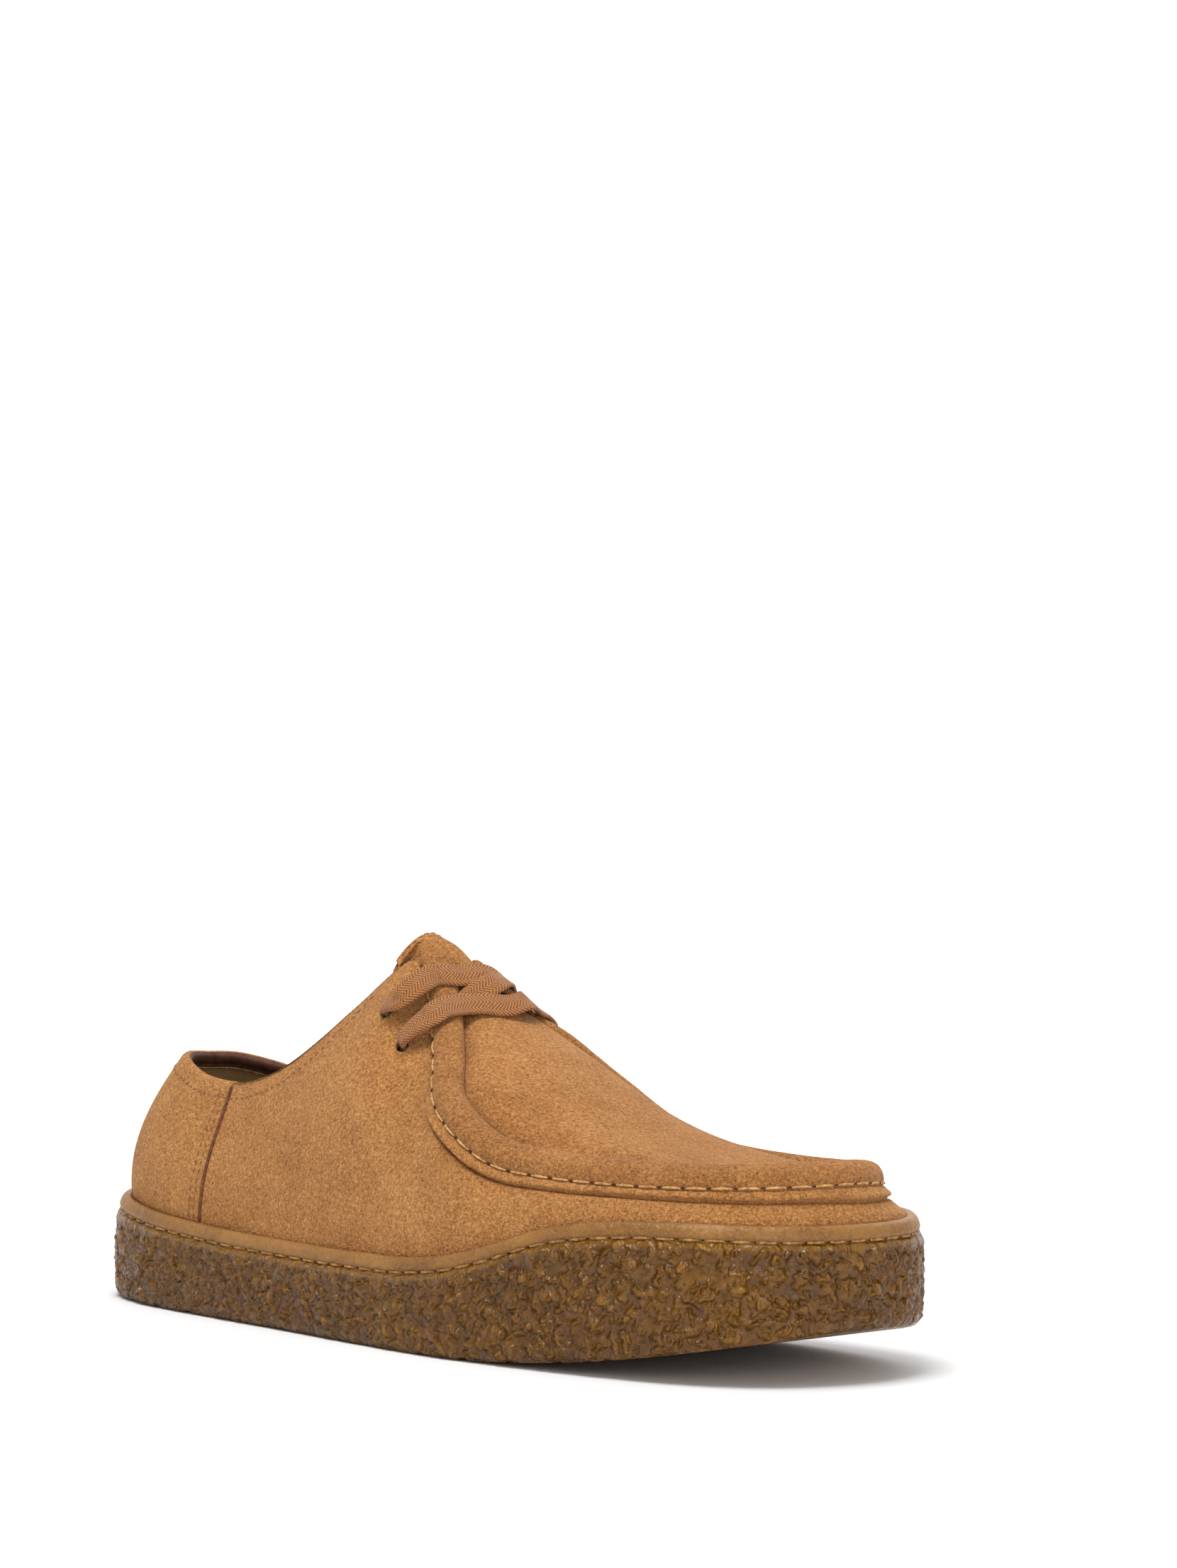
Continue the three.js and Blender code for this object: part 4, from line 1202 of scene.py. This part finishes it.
def tape(name, stops, steps=90):
    """A flat tape through the stops, thicker where it is gathered."""
    points, normals, widths = (np.array(column) for column in zip(*stops))
    run = run_of(points)
    goal = np.linspace(0, run[-1], steps)

    def curve(table):
        return np.stack([smooth(list(zip(run, column)), goal) for column in table.T], 1)

    half = LACE_WIDTH / 2
    flat = LACE_THICK / 2
    quarter = [(half, 0), (half - 0.35, 0.75 * flat), (half - 1.0, flat)]
    section = quarter + [(0, flat)] + [(-a, b) for a, b in quarter[::-1]]
    section += [(-a, -b) for a, b in section[1:-1]]
    width = curve(widths[:, None])
    scale = np.concatenate([width, 1 + 0.9 * (1 - width)], 1)
    print(name, "length", round(float(run[-1]), 1), "mm")
    return tube(name, curve(points), curve(normals), section, 0.3, scale)


front_bar = from_eyelet(1, False) + laid(FRONT_BAR, False)
front_bar += laid(FRONT_BAR, True)[::-1] + from_eyelet(1, True)[::-1]
near_end = from_eyelet(0, False) + laid(TOP_BAR + [(9.85, 2.14, 0.38, 1.0)], False)
near_end += laid([(10.50, 1.30, 0.54, 0.95), TUCK[1]], True)
far_end = from_eyelet(0, True) + laid(TOP_BAR, True)
far_end += laid([(10.14, 2.44, 0.57, 1.0), *TUCK], False)
weave = {"finishes": [lace_weave]}
seat(tape("lace_bar", front_bar, 130), "lace", "laces", **weave)
seat(tape("lace_near_end", near_end), "lace", **weave)
seat(tape("lace_far_end", far_end), "lace", **weave)

# %% [markdown]
# ## Insole
#
# The imported insole has the right shape, so it stays and only gets a textile of its own.

# %% Finish the insole
insole = bpy.data.objects["insole"]
insole.data.materials.clear()
insole.data.materials.append(
    dyed("insole_textile", (112, 88, 52), (160, 132, 88), 700, 0.0002, 0.9))

# %% [markdown]
# ## Floor, light and camera
#
# The photograph is a product picture: a white floor that runs up into a white wall, soft light
# from the upper left and a weak contact shadow. The camera stands close to the floor, ahead of
# the shoe's outer side.

# %% Floor and backdrop
bpy.ops.mesh.primitive_plane_add(size=6)
floor = bpy.context.object
floor.name = "studio_floor"
white, wire, shader = material_of("studio_white")
shader.inputs["Base Color"].default_value = (0.86, 0.86, 0.86, 1)
shader.inputs["Roughness"].default_value = 0.9
shader.inputs["Specular IOR Level"].default_value = 0.1
away = wire.node("ShaderNodeVectorMath", {"operation": "LENGTH"}, {0: wire.spot()}, "Value")
far = away.band(0.35, 1.1)
glow = wire.blend(far, (0, 0, 0, 1), (0.8, 0.8, 0.8, 1))
wire.tree.links.new(glow.socket, shader.inputs["Emission Color"])
shader.inputs["Emission Strength"].default_value = 1.0
floor.data.materials.append(white)

world = bpy.data.worlds.new("studio")
bpy.context.scene.world = world
world.use_nodes = True
AHEAD = (-0.70, 0.714, 0.0)
sky = Wire(world.node_tree)
way = sky.node("ShaderNodeTexCoord", {}, {}, "Generated")
facing = sky.node("ShaderNodeVectorMath", {"operation": "DOT_PRODUCT"}, {0: way, 1: AHEAD}, "Value")
bright = 0.52 + 0.54 * facing.band(0.45, 0.8)
world.node_tree.links.new(bright.socket, world.node_tree.nodes["Background"].inputs["Strength"])
world.node_tree.nodes["Background"].inputs["Color"].default_value = (1, 1, 1, 1)

# %% Lights
def softbox(name, place, aim, size, power):
    """A square area light turned to its aim."""
    bpy.ops.object.light_add(type="AREA", location=place)
    light = bpy.context.object
    light.name = name
    light.data.size = size
    light.data.energy = power
    way = Vector(aim) - Vector(place)
    light.rotation_euler = way.to_track_quat("-Z", "Y").to_euler()


softbox("key_light", (0.1, -0.42, 1.5), (0, 0, 0.05), 0.7, 19)
softbox("side_light", (1.5, -0.6, 0.45), (0, 0, 0.05), 0.6, 6)
softbox("rim_light", (-0.5, 1.0, 1.2), (0, 0, 0.06), 1.3, 6.5)

# %% Camera
bpy.ops.object.camera_add()
camera = bpy.context.object
RIGHT = (0.71428334, 0.69966074, 0.01655798, 0)
UP = (-0.00493347, -0.01862476, 0.99981437, 0)
BACK = (0.69983925, -0.71423243, -0.0098516, 0)
PLACE = (0.87155, -0.84743, 0.149325, 1)
camera.matrix_world = Matrix((RIGHT, UP, BACK, PLACE)).transposed()
camera.data.sensor_fit = "VERTICAL"
camera.data.sensor_height = 36
camera.data.lens = 94.78
bpy.context.scene.camera = camera
bpy.context.scene.view_settings.view_transform = "Standard"
